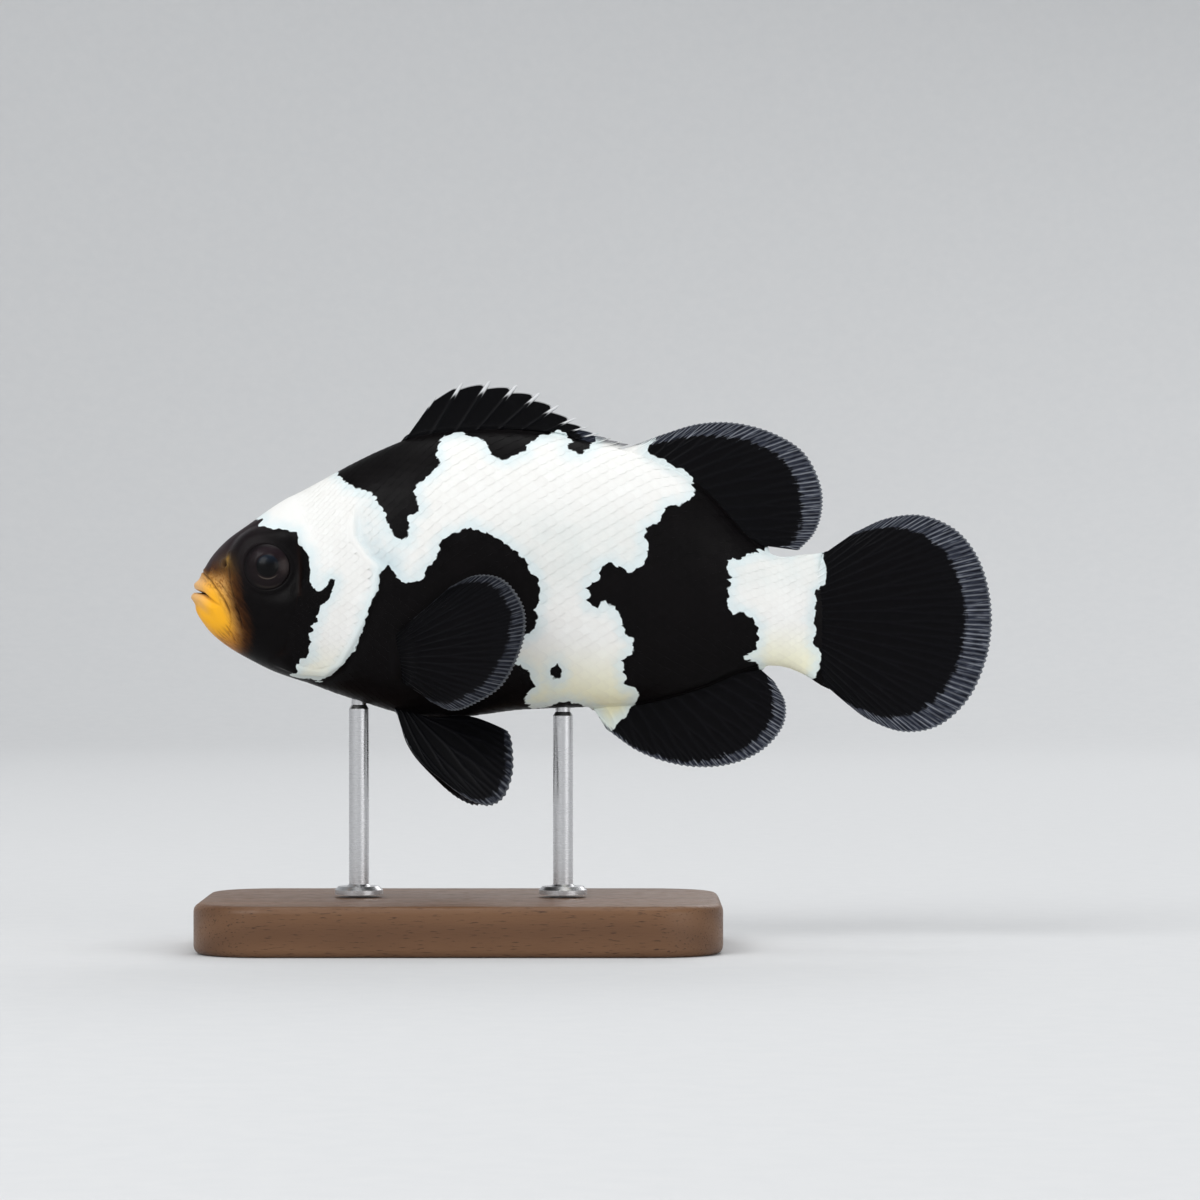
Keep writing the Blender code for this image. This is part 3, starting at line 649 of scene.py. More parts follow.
# Painted shade: the mouth's slit, the face's creases and the nostril are darkened in the colour.
creased = reckon("MINIMUM", value_of(tree, "crease"), 0.92)
feed(shader, {
    "Base Color": mixed(creased, colour, (0.02, 0.008, 0.005)),
    "Specular IOR Level": 0.06,
    "Roughness": rise(speckle, 0.3, 0.8, 0.34, 0.5),
    "Normal": ridged(grain(place, 0.12, 4.0, 0.6), 0.25, 0.04),
})
dress(skin, skin_finish)
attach(skin, "root")
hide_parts("head", "lower_jaw", "gill_cover_left", "gill_cover_right", "trunk", "tail_stalk")

# --- Scales ---
# Thin overlapping plates of horn with a rounded free edge, in slanting rows from the cheek to the
# tail. One is modelled flat and then laid on the body again and again, smaller on nape and stalk.
BODY_END = 22.9
ROW_PITCH, COLUMN_STEP = 1.18, 0.87
SCALE_LENGTH, SCALE_WIDTH, SCALE_THICK = 1.9, 1.36, 0.016
SCALE_SIZES = ((-32, -28, -22, -15, 6, 14, BODY_END), (0.52, 0.58, 0.78, 1.0, 1.0, 0.80, 0.62))  # by x


def two_faced(piece):
    """Gives a flat grid a lower face, an upper face and a rim between them."""
    wall = piece.modifiers.new("thickness", "SOLIDIFY")
    wall.thickness = 0.1
    wall.offset = 0
    bpy.ops.object.modifier_apply(modifier=wall.name)


one_scale = laid_grid("one_scale", 3, 6)
two_faced(one_scale)
flat_scale = points_of(one_scale)
scale_faces = np.array([tuple(face.vertices) for face in one_scale.data.polygons])
bpy.data.objects.remove(one_scale)
back_share, across, layer = flat_scale[:, 0] + 0.5, flat_scale[:, 1] * 2, flat_scale[:, 2] > 0
rounding = np.interp(back_share, (0, 0.34, 0.67, 1), (0.62, 0.97, 1.0, 0.80))
scale_u = (back_share - 0.48 - 0.30 * back_share * np.abs(across) ** 2.2) * SCALE_LENGTH
scale_v = across * rounding * SCALE_WIDTH / 2
scale_h = -COAT + 0.07 + 0.055 * back_share - 0.01 * across**2 + SCALE_THICK * layer
scale_rim = np.maximum(back_share**3, np.abs(across) ** 4 * back_share)


def size_at(x):
    return np.interp(x, *SCALE_SIZES)


def ring_at(x):
    """The ring number at x, the length of its half and the share where it is widest."""
    ring = np.interp(x, ring_x, np.arange(RINGS))
    return ring, *(np.interp(ring, np.arange(RINGS), t) for t in (ring_length, ring_widest))


def scale_roots():
    """x, arc over the widest line and size of each scale, in columns whose rows are staggered."""
    x, column, found = SCALE_SIZES[0][0], 0, []
    while x < BODY_END + 0.7:
        size = size_at(x)
        _, length, widest = ring_at(x)
        rows = (np.arange(-40, 41) + 0.5 * (column % 2)) * ROW_PITCH * size
        over = 0.3 * ROW_PITCH * size
        rows = rows[(rows < length * widest + over) & (rows > -length * (1 - widest) - over)]
        found += [(x, row, size) for row in rows]
        x += COLUMN_STEP * size
        column += 1
    return np.array(found)


def bare_at(points):
    """True where no scale is rooted: the face, the gill cover's edge, the fins' roots."""
    x, y, z = points.T
    flat = points[:, [0, 2]]
    gap, along = beside(flat, GILL_EDGE)
    front = np.interp(z, *SCALES_START)
    middle = np.abs(y) < 0.5
    strip = ease(along, 0.0, 0.09) * (along < 0.999)
    return (
        (x < front + 0.3)
        | ((gap > -0.85 * strip) & (gap < 0.35 * strip))
        | (middle & (z > 0) & (x > DORSAL_ROOT[0] - 0.5) & (x < DORSAL_ROOT[1] + 0.4))
        | (middle & (z < 0) & (x > ANAL_ROOT[0] - 0.4) & (x < ANAL_ROOT[1] + 0.4))
        | (np.hypot((x - PECTORAL_BASE[0] - 0.4) / 0.8, (z - PECTORAL_BASE[1]) / 2.4) < 1)
    )


SIDES = ((-1, "left"), (1, "right"))
roots = scale_roots()
chance = np.random.default_rng(7)
scale_finish, tree, shader = new_material("Fish scales")
for side, word in SIDES:
    root_ring, length, widest = ring_at(roots[:, 0])
    keep = ~bare_at(on_body(root_ring, widest - roots[:, 1] / length, side))
    x0, arc0, size = roots[keep].T[:, :, None]
    count = len(size)
    # Each scale keeps to its root's row and column, with a little chance in its width and its tilt.
    wobble = chance.normal(0, 1, (count, 3))
    x = np.clip(x0 + scale_u * size, ring_x[0], ring_x[-1])
    arc = arc0 * size_at(x) / size + scale_v * (size * (1 + 0.03 * wobble[:, :1]))
    ring, length, widest = ring_at(x)
    down = widest - arc / length
    tilt = 0.012 * wobble[:, 1:2] * (back_share - 0.3)
    height = scale_h * (0.4 + 0.6 * size) - COAT * 0.4 * (1 - size) + tilt
    # It follows the body's curve, sinks away on the bare face and tucks under the gill cover's edge.
    bare = on_body(ring, down, side).reshape(-1, 3)
    step, _, tuck = gill_step(bare)
    grown = scaled_at(bare[:, 0], bare[:, 2]).reshape(height.shape)
    height = height * grown - 0.05 * (1 - grown) + (step - 0.13 * tuck).reshape(height.shape)
    placed = on_body(ring, down, side, height).reshape(-1, 3)
    faces = (scale_faces + np.arange(count)[:, None, None] * len(flat_scale)).reshape(-1, 4)
    mesh = bpy.data.meshes.new(f"scales_{word}")
    mesh.from_pydata(np.zeros_like(placed), [], faces)
    coat = bpy.data.objects.new(f"scales_{word}", mesh)
    bpy.context.scene.collection.objects.link(coat)
    move_points(coat, placed)
    mesh.shade_smooth()
    mesh.set_sharp_from_angle(angle=radians(50))
    own = white_at(placed).reshape(count, -1)
    shared = own.mean(1, keepdims=True)
    tone = np.clip(chance.normal(0, 0.5, (count, 1)), -1, 1)
    carry(
        coat,
        blue=blue_at(placed),
        white=(0.78 * own + 0.22 * shared + 0.05 * wobble[:, :1]).ravel(),
        tone=np.broadcast_to(tone, own.shape).ravel(),
        rim=np.broadcast_to(scale_rim, own.shape).ravel(),
    )
    # The flat map for baking, where each scale has a patch of its own, laid out as on the flank.
    along_skin = np.interp(root_ring[keep], np.arange(RINGS), ring_along) / ring_along[-1]
    down_skin = down.mean(1)
    centre = np.stack([0.02 + 0.96 * along_skin, 0.02 + 0.96 * down_skin], -1)
    corner = np.stack([back_share - 0.5, across * 0.5], -1) * 0.003
    patch = (centre[:, None] + corner[None]).reshape(-1, 2)
    looped = np.empty(len(mesh.loops), np.int32)
    mesh.loops.foreach_get("vertex_index", looped)
    unwrap = mesh.uv_layers.new(name="OFBake")
    unwrap.data.foreach_set("uv", patch[looped].ravel().astype(np.float32))
    dress(coat, scale_finish)
    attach(coat, "root")
    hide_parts("trunk", "tail_stalk")

place = own_place(tree)
plain_scale = patched(tree, "White", "Tone", "Blue")
# Painted shade and sheen at each scale's free edge: painted darker on the white patches, painted lighter on
# the black.
painted_rim_shade_and_sheen = times(rise(value_of(tree, "rim"), 0.35, 1.0), 0.06)
white_with_rim_shade = mixed(painted_rim_shade_and_sheen, plain_scale["Colour"], (0.55, 0.50, 0.50))
black_with_rim_sheen = mixed(painted_rim_shade_and_sheen, plain_scale["Colour"], (0.013, 0.011, 0.013))
feed(shader, {
    "Base Color": mixed(plain_scale["Mask"], black_with_rim_sheen, white_with_rim_shade),
    "Specular IOR Level": 0.06,
    "Roughness": rise(grain(place, 1.5), 0.3, 0.7, 0.34, 0.46),
    "Normal": ridged(grain(place, 0.10, 3.0), 0.2, 0.03),
})

# --- Eyes ---
# A glass eye set into each orbit: a flattened ball with a dark brown iris, a round pupil that
# bulges through it, and a wet clear surface.
EYE_RADII = (2.65, 2.0, 2.65)
EYE_BACK, EYE_OUT = 0.12, 0.10  # how far off its solid's middle the glass eye sits
EYE_TOE_OUT, EYE_TILT_UP = radians(1), radians(7.5)
PUPIL, IRIS = 1.10, 2.45
FRONT_FLATTENED, IRIS_SUNK, PUPIL_BULGE = 0.86, 0.08, 0.16
EYEBALL_BACK = 3.0  # the distance from the pupil's middle that the hidden half carries
# Painted highlights: light from above, painted as pale arcs low in the iris.
PAINTED_IRIS_HIGHLIGHTS = (  # pale arcs in the iris: radius, half width, heights they fade in between, strength
    (1.29, 0.09, -0.75, -1.25, 0.7),
    (2.12, 0.20, -1.5, -2.1, 0.5),
)

eye_finish, tree, shader = new_material("Fish eye")
out, up, behind = (value_of(tree, name) for name in ("from_middle", "up", "behind"))
flecks = grain(own_place(tree), 0.18, 4.0, 0.6)
iris = mixed(flecks, (0.004, 0.0024, 0.0028), (0.011, 0.0062, 0.0075))
iris = mixed(rise(up, 0.2, 1.9, 0.0, 0.6), iris, (0.013, 0.0055, 0.0095))
level = rise(reckon("ABSOLUTE", up), 1.3, 0.3)
lighter = times(rise(behind, 0.9, 1.7, 0.0, 0.8), level)
iris = mixed(lighter, iris, (0.026, 0.017, 0.016))
# Each arc is a painted highlight, lighter only below the pupil's middle.
for far, width, start, end, strength in PAINTED_IRIS_HIGHLIGHTS:
    off_ring = reckon("ABSOLUTE", reckon("SUBTRACT", out, far))
    painted_highlight = times(rise(off_ring, width, 0.0), rise(up, start, end, 0.0, strength))
    iris = mixed(painted_highlight, iris, (0.10, 0.082, 0.066))
iris = mixed(rise(out, 1.65, 2.40), iris, (0.004, 0.003, 0.0034))
# The pupil is black, with a painted bluish reflection over its upper half.
pupil = mixed(rise(up, 0.0, 0.9), (0.0008, 0.0008, 0.0012), (0.004, 0.008, 0.015))
feed(shader, {
    "Base Color": mixed(rise(out, PUPIL + 0.04, PUPIL - 0.04), iris, pupil),
    "Roughness": 0.35,
    "Specular IOR Level": 0.1,
    "Coat Weight": rise(out, 2.3, 1.3, 0.04, 0.26),
    "Coat IOR": 1.2,
    "Coat Roughness": 0.06,
})

for side, word in SIDES:
    bpy.ops.object.select_all(action="DESELECT")
    bpy.ops.mesh.primitive_uv_sphere_add(segments=96, ring_count=64, radius=1)
    eye = bpy.context.object
    eye.name = eye.data.name = f"glass_eye_{word}"
    ball = points_of(eye)
    r = np.hypot(ball[:, 0], ball[:, 1]) * EYE_RADII[0]
    front = ball[:, 2] > 0
    deep = ball[:, 2] * EYE_RADII[1] * np.where(front, FRONT_FLATTENED, 1.0)
    deep -= front * IRIS_SUNK * ease(r, IRIS, IRIS - 0.9)
    deep += front * PUPIL_BULGE * np.sqrt(np.clip(1 - (r / (PUPIL + 0.08)) ** 2, 0, 1))
    shape = np.column_stack([ball[:, 0] * EYE_RADII[0], ball[:, 1] * EYE_RADII[2], deep])
    carry(eye, from_middle=np.where(front, r, EYEBALL_BACK), up=shape[:, 1], behind=shape[:, 0])
    settle = Matrix.Rotation(side * EYE_TOE_OUT, 4, "Z") @ Matrix.Rotation(side * EYE_TILT_UP, 4, "X")
    face_out = Matrix(((1, 0, 0, 0), (0, 0, side, 0), (0, 1, 0, 0), (0, 0, 0, 1)))
    turned = shape @ np.array(settle.to_3x3() @ face_out.to_3x3()).T
    move_points(eye, turned + np.array((EYE.x + EYE_BACK, side * (EYE.y + EYE_OUT), EYE.z - EYE_DROP)))
    close_up()
    dress(eye, eye_finish)
    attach(eye, "root")
    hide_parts(f"eye_{word}")

# --- Fins ---
# Opaque black membranes over bony rays that fork twice on their way out, ridged on both faces, with
# a slate margin where each fork shows as a pale streak. Each sinks a little into the body.
SINK = 0.10  # the share of each ray that runs on into the body
NO_PATCH = -5.0  # millimetres inside a white patch, for a fin that has none
NOTCH, SPINE_HALF, SIDE_HEM = 0.16, 0.16, 0.16  # depth between ray tips, half a spine, end hem's width

fin_finish, tree, shader = new_material("Fin membrane")
place = own_place(tree)
plain_fin = patched(tree, "White")
ray, to_edge = value_of(tree, "ray"), value_of(tree, "to_edge")
strands_lie = {0: value_of(tree, "abreast"), 1: times(to_edge, 0.10)}
strands_lie = put(tree, "CombineXYZ", strands_lie).outputs[0]
strand = put(tree, "TexNoise", {"Vector": strands_lie, "Scale": 6.0, "Detail": 2.0}).outputs["Fac"]
luck = put(tree, "TexNoise", {"Vector": strands_lie, "Scale": 1.6, "Detail": 1.0}).outputs["Fac"]
streak = times(reckon("POWER", ray, 5.0), rise(luck, 0.36, 0.60, 0.3, 1.0))
streak = reckon("MAXIMUM", streak, rise(strand, 0.56, 0.72, 0.0, 0.45))
fuzzy = reckon("MULTIPLY_ADD", grain(place, 0.6, 3.0), 1.3, -0.65)
ragged = reckon("ADD", fuzzy, times(streak, 0.35))
margin = reckon("ADD", value_of(tree, "margin"), ragged)
membrane = mixed(times(ray, 0.4), (0.0014, 0.0014, 0.0020), (0.0050, 0.0050, 0.0066))
streak_skin = mixed(grain(place, 0.9, 2.0), (0.10, 0.11, 0.13), (0.35, 0.37, 0.41))
slate = mixed(rise(strand, 0.35, 0.60), (0.007, 0.008, 0.013), (0.026, 0.030, 0.045))
slate = mixed(streak, slate, streak_skin)
slate = mixed(rise(to_edge, 0.24, 0.04, 0.0, 0.6), slate, (0.22, 0.235, 0.255))
slate = mixed(value_of(tree, "bright"), membrane, slate)
dark_fin = mixed(rise(margin, 0.0, 0.45), membrane, slate)
hem = times(rise(to_edge, 0.17, 0.08), value_of(tree, "hem"))
dark_fin = mixed(reckon("MAXIMUM", value_of(tree, "pale"), hem), dark_fin, (0.66, 0.67, 0.68))
gaps = times(rise(streak, 0.5, 0.0), rise(to_edge, 1.3, 0.3, 0.05, 0.85))
streaked = mixed(gaps, plain_fin["Colour"], (0.10, 0.105, 0.12))
feed(shader, {
    "Base Color": mixed(plain_fin["Mask"], dark_fin, streaked),
    "Specular IOR Level": 0.06,
    "Roughness": rise(ray, 0.0, 1.0, 0.50, 0.36),
    "Normal": ridged(grain(place, 0.15, 3.0), 0.2, 0.03),
})


def forked(along, out, rays, spacing):
    """How much of a ray is at each point: each ray forks at a third and at two thirds of its way out."""
    from_ray = np.abs(along * (rays - 1) - np.rint(along * (rays - 1)))
    first = ease(out, 0.30, 0.62)
    second = ease(out, 0.60, 0.86)
    from_branch = np.abs(np.abs(from_ray - 0.25 * first) - 0.125 * second)
    width = np.interp(out, (0, 1), (0.15, 0.075))
    return bell(from_branch * spacing, width * np.maximum(spacing, 0.4))


def fin(name, root, edge, rays, grid, place, margin, thick=(0.75, 0.13), ridge=(0.05, 0.05), bow=0.0,
        spines=None, outlines=(), bright=1.0):
    """A fin between two side-view curves, read from its first ray to its last, that replaces its solid.

    The margin's width goes from the first ray to the last, the thickness and the ridges' height from
    root to edge. The place function puts the side view where it belongs and gives the way outwards.
    """
    piece = laid_grid(f"{name}_membrane", *grid)
    two_faced(piece)
    sheet = points_of(piece)
    # Shares of the way from the first ray to the last, and from the root out to the edge.
    along = sheet[:, 0] + 0.5
    out = -SINK + (1 + SINK) * (sheet[:, 1] + 0.5)
    face = np.sign(sheet[:, 2])
    root_points, edge_points = smooth(root, along), smooth(edge, along)
    whole = edge_points - root_points
    length = np.hypot(*whole.T)
    spacing = np.hypot(*np.diff(smooth(edge, np.linspace(0, 1, 200)), axis=0).T).sum() / (rays - 1)
    ray = forked(along, np.clip(out, 0, 1), rays, spacing)
    tip = forked(along, np.ones_like(along), rays, spacing)
    # How far the edge falls short of the rays' tips, or of the spines' in the front dorsal fin.
    short = NOTCH * (1 - tip)
    pale = np.zeros_like(along)
    if spines:
        after = (along * (rays - 1) + 1e-6) % 1
        off_axis = np.minimum(after, 1 - after) * spacing / SPINE_HALF
        ray = bell(off_axis, 1)
        lobe = np.interp(after, *smooth(spines, np.linspace(0, 1, 80)).T)
        lobe *= np.interp(along, (0, 0.25, 0.5, 0.65, 0.8, 1), (0.6, 0.85, 1.0, 0.8, 0.5, 0.4))
        short = np.where(off_axis < 0.9, 0.35 * off_axis**2, lobe)
        pale = ease(off_axis, 1.2, 0.8) * ease(out * length, length - 1.6, length - 1.1)
    reach = (length - short) / length
    out_there = np.where(out > 0, out * reach, out)
    # The side view, bowed in its own plane, and then the two faces, thicker over each ray.
    aside = np.column_stack([whole[:, 1], -whole[:, 0]]) * (bow * (1 - 2 * along))[:, None]
    swell = np.sin(pi * np.clip(out_there, 0, 1))
    flat = root_points + whole * out_there[:, None] + aside * swell[:, None]
    middle, outward = place(flat[:, 0], flat[:, 1], out_there, along)
    share = np.clip(out, 0, 1)
    half = np.interp(share**0.5, (0, 1), thick) / 2 + np.interp(share, (0, 1), ridge) * ray
    wave = 0.10 * np.sin(along * 9.0 + out * 4.0) * share
    points = middle + outward * (half * face + wave)[:, None]
    move_points(piece, points)
    # What the material reads at each point, in millimetres from the edge and from the end rays.
    to_edge = (1 - share) * length * reach
    band = np.interp(along, *margin)
    root_length = np.hypot(*np.diff(np.asarray(root, float), axis=0).T).sum()
    to_side = np.minimum(along, 1 - along) * (root_length * (1 - share) + (rays - 1) * spacing * share)
    side_hem = SIDE_HEM - to_side - 0.35 * ease(share, 0.7, 0.1)
    carry(
        piece, ray=ray, to_edge=to_edge, margin=np.maximum(band - to_edge, side_hem), pale=pale,
        abreast=along * (rays - 1) * spacing, bright=np.full_like(along, bright),
        hem=np.full_like(along, 0.6 if spines else 0.0),
        white=white_at(points, outlines) if outlines else np.full_like(along, NO_PATCH),
    )
    close_up()
    dress(piece, fin_finish)
    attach(piece, "root")
    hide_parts(name)


def on_midplane(x, z, out, along):
    """For a fin that stands upright on the back, the belly or the tail."""
    nothing = np.zeros_like(x)
    return np.column_stack([x, nothing, z]), np.column_stack([nothing, nothing + 1, nothing])


def along_back(places):
    """The foot of a dorsal fin at each x, on the back's ridge."""
    return [(x, np.interp(x, ring_x, ring_back) + 0.3 - 0.6 * low_ridge(x)) for x in places]


SPINE_FEET = (-18.5, -15.9, -13.4, -11.2, -9.0, -6.7, -4.5, -2.9, -1.5, -0.1, 1.1, 2.2)
SPINE_TIPS = (
    (-15.7, 19.6), (-13.1, 20.9), (-10.3, 21.1), (-7.6, 20.7), (-5.3, 19.9), (-3.4, 18.7),
    (-1.7, 17.4), (-0.5, 16.5), (0.6, 15.9), (1.8, 15.4), (2.9, 15.05), (3.9, 14.8),
)
# Between two spines: the share of the way to the next, and how far the edge falls short of the tips.
SPINE_LOBES = ((0, 1.2), (0.12, 1.05), (0.35, 0.8), (0.6, 0.6), (0.78, 0.55), (0.92, 0.8), (1, 1.1))
fin("spiny_dorsal_fin", along_back(SPINE_FEET), SPINE_TIPS, 12, (352, 44), on_midplane,
    margin=((0, 0.59, 0.67, 1), (-1, -1, 1.2, 3)), thick=(0.75, 0.16), ridge=(0.10, 0.12),
    spines=SPINE_LOBES, outlines=(MIDDLE_PATCH,))

SOFT_DORSAL_EDGE = (
    (4.4, 14.8), (7.2, 15.85), (10.6, 16.85), (14.2, 16.95), (18.0, 15.95), (21.1, 14.0), (22.75, 10.9),
    (22.95, 8.2), (22.2, 5.9), (20.6, 4.15),
)
soft_root = along_back(np.linspace(2.7, DORSAL_ROOT[1], 10))
fin("soft_dorsal_fin", soft_root, SOFT_DORSAL_EDGE, 16, (345, 60), on_midplane,
    margin=((0, 0.1, 0.2, 0.35, 0.7, 0.9, 1), (1.2, 1.8, 2.4, 2.6, 2.2, 1.8, 1.0)),
    outlines=(MIDDLE_PATCH,))


def section_at(x):
    """Back, belly, half width and height of the widest place at x."""
    return (np.interp(x, ring_x, t) for t in (ring_back, ring_belly, ring_half, ring_middle))


def belly_at(x, y=0.0):
    """Height of the underside at x, at y from the midplane."""
    _, belly, half, middle = section_at(x)
    share = np.clip(np.abs(y) / half, 0, 1)
    return middle - (middle - belly) * (1 - share**BELLY_FULLNESS) ** (1 / BELLY_FULLNESS)


ANAL_EDGE = (
    (1.4, -13.8), (4.8, -16.1), (9.0, -17.4), (13.1, -17.4), (16.6, -16.1), (18.9, -13.7),
    (19.3, -11.2), (18.2, -9.0),
)
anal_root = [(x, belly_at(x) - 0.3) for x in np.linspace(*ANAL_ROOT, 9)]
fin("anal_fin", anal_root, ANAL_EDGE, 13, (312, 52), on_midplane,
    margin=((0, 0.12, 0.3, 0.42, 0.7, 0.9, 1), (0.9, 0.5, 0.6, 1.1, 1.5, 1.6, 1.0)),
    outlines=(MIDDLE_PATCH,))

TAIL_EDGE = (
    (26.2, 6.0), (29.4, 7.4), (33.0, 7.7), (36.4, 6.2), (38.6, 3.4), (39.7, -0.1), (39.9, -3.6),
    (39.3, -7.0), (37.6, -10.7), (34.6, -13.4), (31.0, -14.0), (27.6, -12.8), (25.4, -11.2),
)
tail_root = [(BODY_END + 0.3, z) for z in np.linspace(3.9, -9.3, 9)]
fin("tail_fin", tail_root, TAIL_EDGE, 21, (480, 80), on_midplane,
    margin=((0, 0.08, 0.2, 0.5, 0.75, 0.9, 1), (0.8, 2.0, 2.8, 2.7, 2.7, 2.0, 0.9)),
    thick=(1.0, 0.13), outlines=(STALK_PATCH,))


def half_width_at(x, z):
    """Distance of the flank from the midplane at x and height z."""
    back, belly, half, middle = section_at(x)
    power = np.where(z > middle, BACK_FULLNESS, BELLY_FULLNESS)
    share = np.clip(np.abs(z - middle) / np.where(z > middle, back - middle, middle - belly), 0, 1)
    return half * (1 - share**power) ** (1 / power)


PECTORAL_ROOT = ((-18.9, -3.9), (-18.6, -5.4), (-18.4, -7.2), (-18.5, -9.0))
PECTORAL_EDGE = (
    (-14.0, 0.5), (-11.4, 1.65), (-8.7, 1.2), (-6.8, -1.2), (-6.5, -3.8), (-7.4, -6.7),
    (-9.0, -9.3), (-11.6, -11.0), (-13.8, -11.7), (-16.0, -10.8),
)
PECTORAL_LEAN, PECTORAL_CUP, PECTORAL_CLEAR = radians(27), 0.8, 1.04  # lean, hollow, gap at the flank
PELVIC_ROOT = ((-19.5, 1.7), (-17.6, 1.6), (-15.6, 1.4))  # x and distance from the midplane
PELVIC_EDGE = (
    (-14.7, -18.8), (-13.3, -19.9), (-11.8, -20.8), (-10.2, -21.2), (-8.8, -20.4), (-8.0, -18.4),
    (-7.9, -16.2), (-8.3, -14.1), (-9.6, -13.4),
)
PELVIC_LEAN = {-1: radians(22), 1: radians(37)}  # by side
RIGHT_PELVIC_SWING = radians(12)
for side, word in SIDES:
    def beside_flank(x, z, out, along):
        """For the pectoral fin, whose root is let into the flank."""
        start = smooth(PECTORAL_ROOT, along)
        cup = PECTORAL_CUP * np.sin(pi * np.clip(out, 0, 1)) * out
        y = half_width_at(*start.T) + PECTORAL_CLEAR + (x - start[:, 0]) * tan(PECTORAL_LEAN) - cup
        y -= (PECTORAL_CLEAR + 0.35) * ease(out, 0.14, -SINK)
        outward = np.tile((-sin(PECTORAL_LEAN), side * cos(PECTORAL_LEAN), 0), (len(x), 1))
        return np.column_stack([x, side * y, z]), outward

    fin(f"pectoral_fin_{word}", PECTORAL_ROOT, PECTORAL_EDGE, 16, (336, 60), beside_flank,
        margin=((0, 0.1, 0.3, 0.6, 0.9, 1), (0.7, 1.0, 1.4, 1.7, 1.2, 0.8)), thick=(0.8, 0.12), bright=0.5)

    lean = PELVIC_LEAN[side]
    root = [(x, belly_at(x, y) - 0.3) for x, y in PELVIC_ROOT]
    shorter = cos(lean) / cos(PELVIC_LEAN[-1])
    swing = Matrix.Rotation(-RIGHT_PELVIC_SWING if side > 0 else 0.0, 2)
    pivot = Vector(root[0])
    edge = [pivot + swing @ Vector((x - pivot.x, (z - pivot.y) * shorter)) for x, z in PELVIC_EDGE]

    def under_belly(x, z, out, along):
        """For the pelvic fin, which leans outwards below its side of the belly."""
        start_z = smooth(root, along)[:, 1]
        start_y = smooth(PELVIC_ROOT, along)[:, 1]
        outward = np.tile((0, side * cos(lean), sin(lean)), (len(x), 1))
        return np.column_stack([x, side * (start_y + (start_z - z) * tan(lean)), z]), outward

    fin(f"pelvic_fin_{word}", root, edge, 7, (168, 60), under_belly,
        margin=((0, 0.3, 0.7, 1), (0.6, 0.9, 1.0, 0.5)), thick=(0.7, 0.12), bow=0.11, bright=0.6)

# --- Stand ---
# A walnut slab with rounded corners and a chamfered edge, oiled, and two turned steel rods whose
# slimmer tips go up into the belly.
walnut, tree, shader = new_material("Oiled walnut")
place = own_place(tree)
growth = put(tree, "TexWave", {
    "Vector": mapped(place, Location=(0, 0.05, 0.06), Scale=(0.16, 1, 1)),
    "Scale": 95.0,
    "Distortion": 3.5,
    "Detail": 3.0,
    "Detail Scale": 0.35,
}, wave_type="RINGS", rings_direction="X").outputs["Fac"]
cloud = grain(mapped(place, Scale=(0.25, 1, 1)), 6.0, 4.0, 0.6)
pores = grain(mapped(place, Scale=(0.12, 1, 1)), 0.16, 3.0)
wood = mixed(cloud, (0.105, 0.050, 0.024), (0.21, 0.108, 0.053))
wood = mixed(times(growth, 0.45), wood, (0.085, 0.038, 0.018))
feed(shader, {
    "Base Color": mixed(rise(pores, 0.58, 0.72), wood, (0.05, 0.023, 0.012)),
    "Specular IOR Level": 0.3,
    "Roughness": rise(pores, 0.4, 0.7, 0.36, 0.55),
    "Normal": ridged(pores, 0.35, 0.05),
})

CORNER, CHAMFER = 0.007, 0.0008  # in metres, as are the rods' sizes
low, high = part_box("stand_base")
bpy.ops.object.select_all(action="DESELECT")
bpy.ops.mesh.primitive_cube_add(size=1, location=(low + high) / 2, scale=high - low)
slab = bpy.context.object
slab.name = slab.data.name = "walnut_slab"
bpy.ops.object.transform_apply()
bpy.ops.object.mode_set(mode="EDIT")
bpy.ops.mesh.select_mode(type="EDGE")
bpy.ops.mesh.select_all(action="DESELECT")
bpy.ops.object.mode_set(mode="OBJECT")
for rim_edge in slab.data.edges:
    ends = [slab.data.vertices[k].co for k in rim_edge.vertices]
    rim_edge.select = abs(ends[0].z - ends[1].z) > 0.001
bpy.ops.object.mode_set(mode="EDIT")
bpy.ops.mesh.bevel(offset=CORNER, segments=20)
bpy.ops.object.mode_set(mode="OBJECT")
worn = slab.modifiers.new("chamfer", "BEVEL")
worn.width = CHAMFER
worn.segments = 4
worn.limit_method = "ANGLE"
worn.angle_limit = radians(60)
bpy.ops.object.modifier_apply(modifier=worn.name)
bpy.ops.object.shade_smooth_by_angle(angle=radians(30))
dress(slab, walnut)
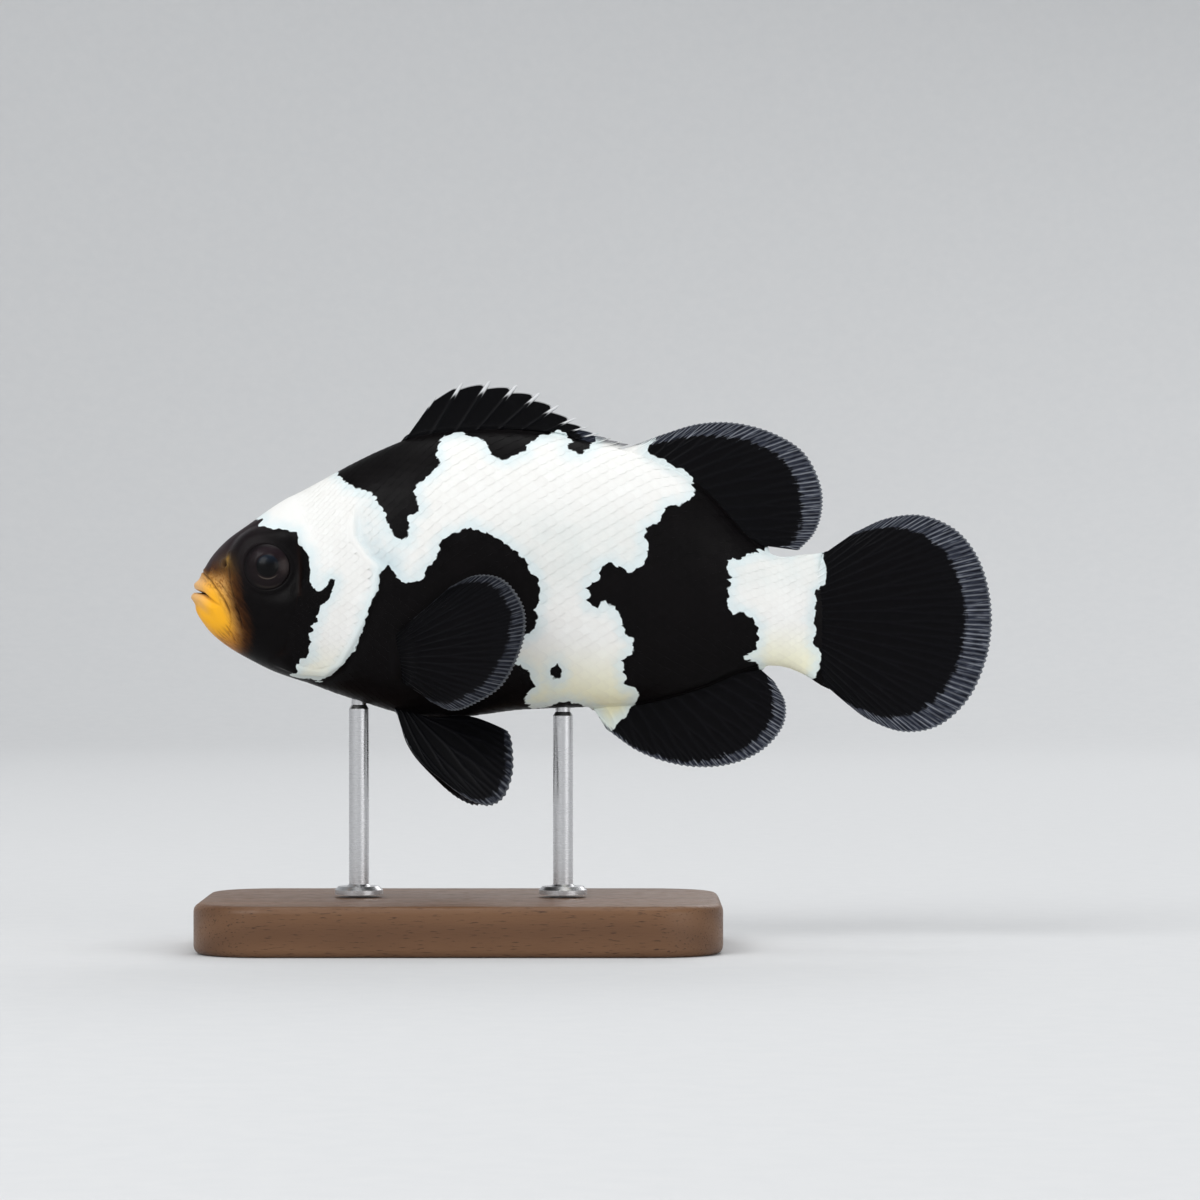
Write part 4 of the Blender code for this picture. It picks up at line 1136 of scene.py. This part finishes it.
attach(slab, "root")
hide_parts("stand_base")

steel, tree, shader = new_material("Brushed steel")
turned_lines = grain(mapped(own_place(tree), Scale=(0.02, 0.02, 1)), 0.10, 2.0)
feed(shader, {
    "Base Color": mixed(turned_lines, (0.60, 0.60, 0.61), (0.63, 0.63, 0.64)),
    "Metallic": 1.0,
    "Roughness": rise(turned_lines, 0.3, 0.7, 0.27, 0.29),
})

ROD_RADIUS, TIP_RADIUS, FOOT_RADIUS = 0.001, 0.00075, 0.0024
FOOT_HEIGHT, FOOT_CHAMFER, SHOULDER, INSERT, WELD = 0.0008, 0.00035, 0.0004, 0.0033, 0.0002
for word in ("front", "rear"):
    low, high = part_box(f"stand_rod_{word}")
    x, foot, top = (low.x + high.x) / 2, low.z, high.z
    neck = foot + FOOT_HEIGHT
    profile = (
        (FOOT_RADIUS, foot), (FOOT_RADIUS, neck - FOOT_CHAMFER), (FOOT_RADIUS - FOOT_CHAMFER, neck),
        (ROD_RADIUS + WELD, neck), (ROD_RADIUS, neck + WELD), (ROD_RADIUS, top - INSERT - SHOULDER),
        (TIP_RADIUS, top - INSERT), (TIP_RADIUS, top),
    )
    bpy.ops.object.select_all(action="DESELECT")
    middle = (x, 0, foot)
    bpy.ops.mesh.primitive_circle_add(vertices=48, radius=FOOT_RADIUS, location=middle, fill_type="NGON")
    rod = bpy.context.object
    rod.name = rod.data.name = f"steel_rod_{word}"
    bpy.ops.object.transform_apply()
    bpy.ops.object.mode_set(mode="EDIT")
    bpy.ops.mesh.select_all(action="SELECT")
    for (wide, z), (wider, above) in zip(profile, profile[1:]):
        bpy.ops.mesh.extrude_region_move(TRANSFORM_OT_translate={"value": (0, 0, above - z)})
        bpy.ops.transform.resize(value=(wider / wide, wider / wide, 1), center_override=(x, 0, above))
    bpy.ops.object.mode_set(mode="OBJECT")
    close_up()
    bpy.ops.object.shade_smooth_by_angle(angle=radians(30))
    dress(rod, steel)
    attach(rod, "root")
    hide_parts(f"stand_rod_{word}")
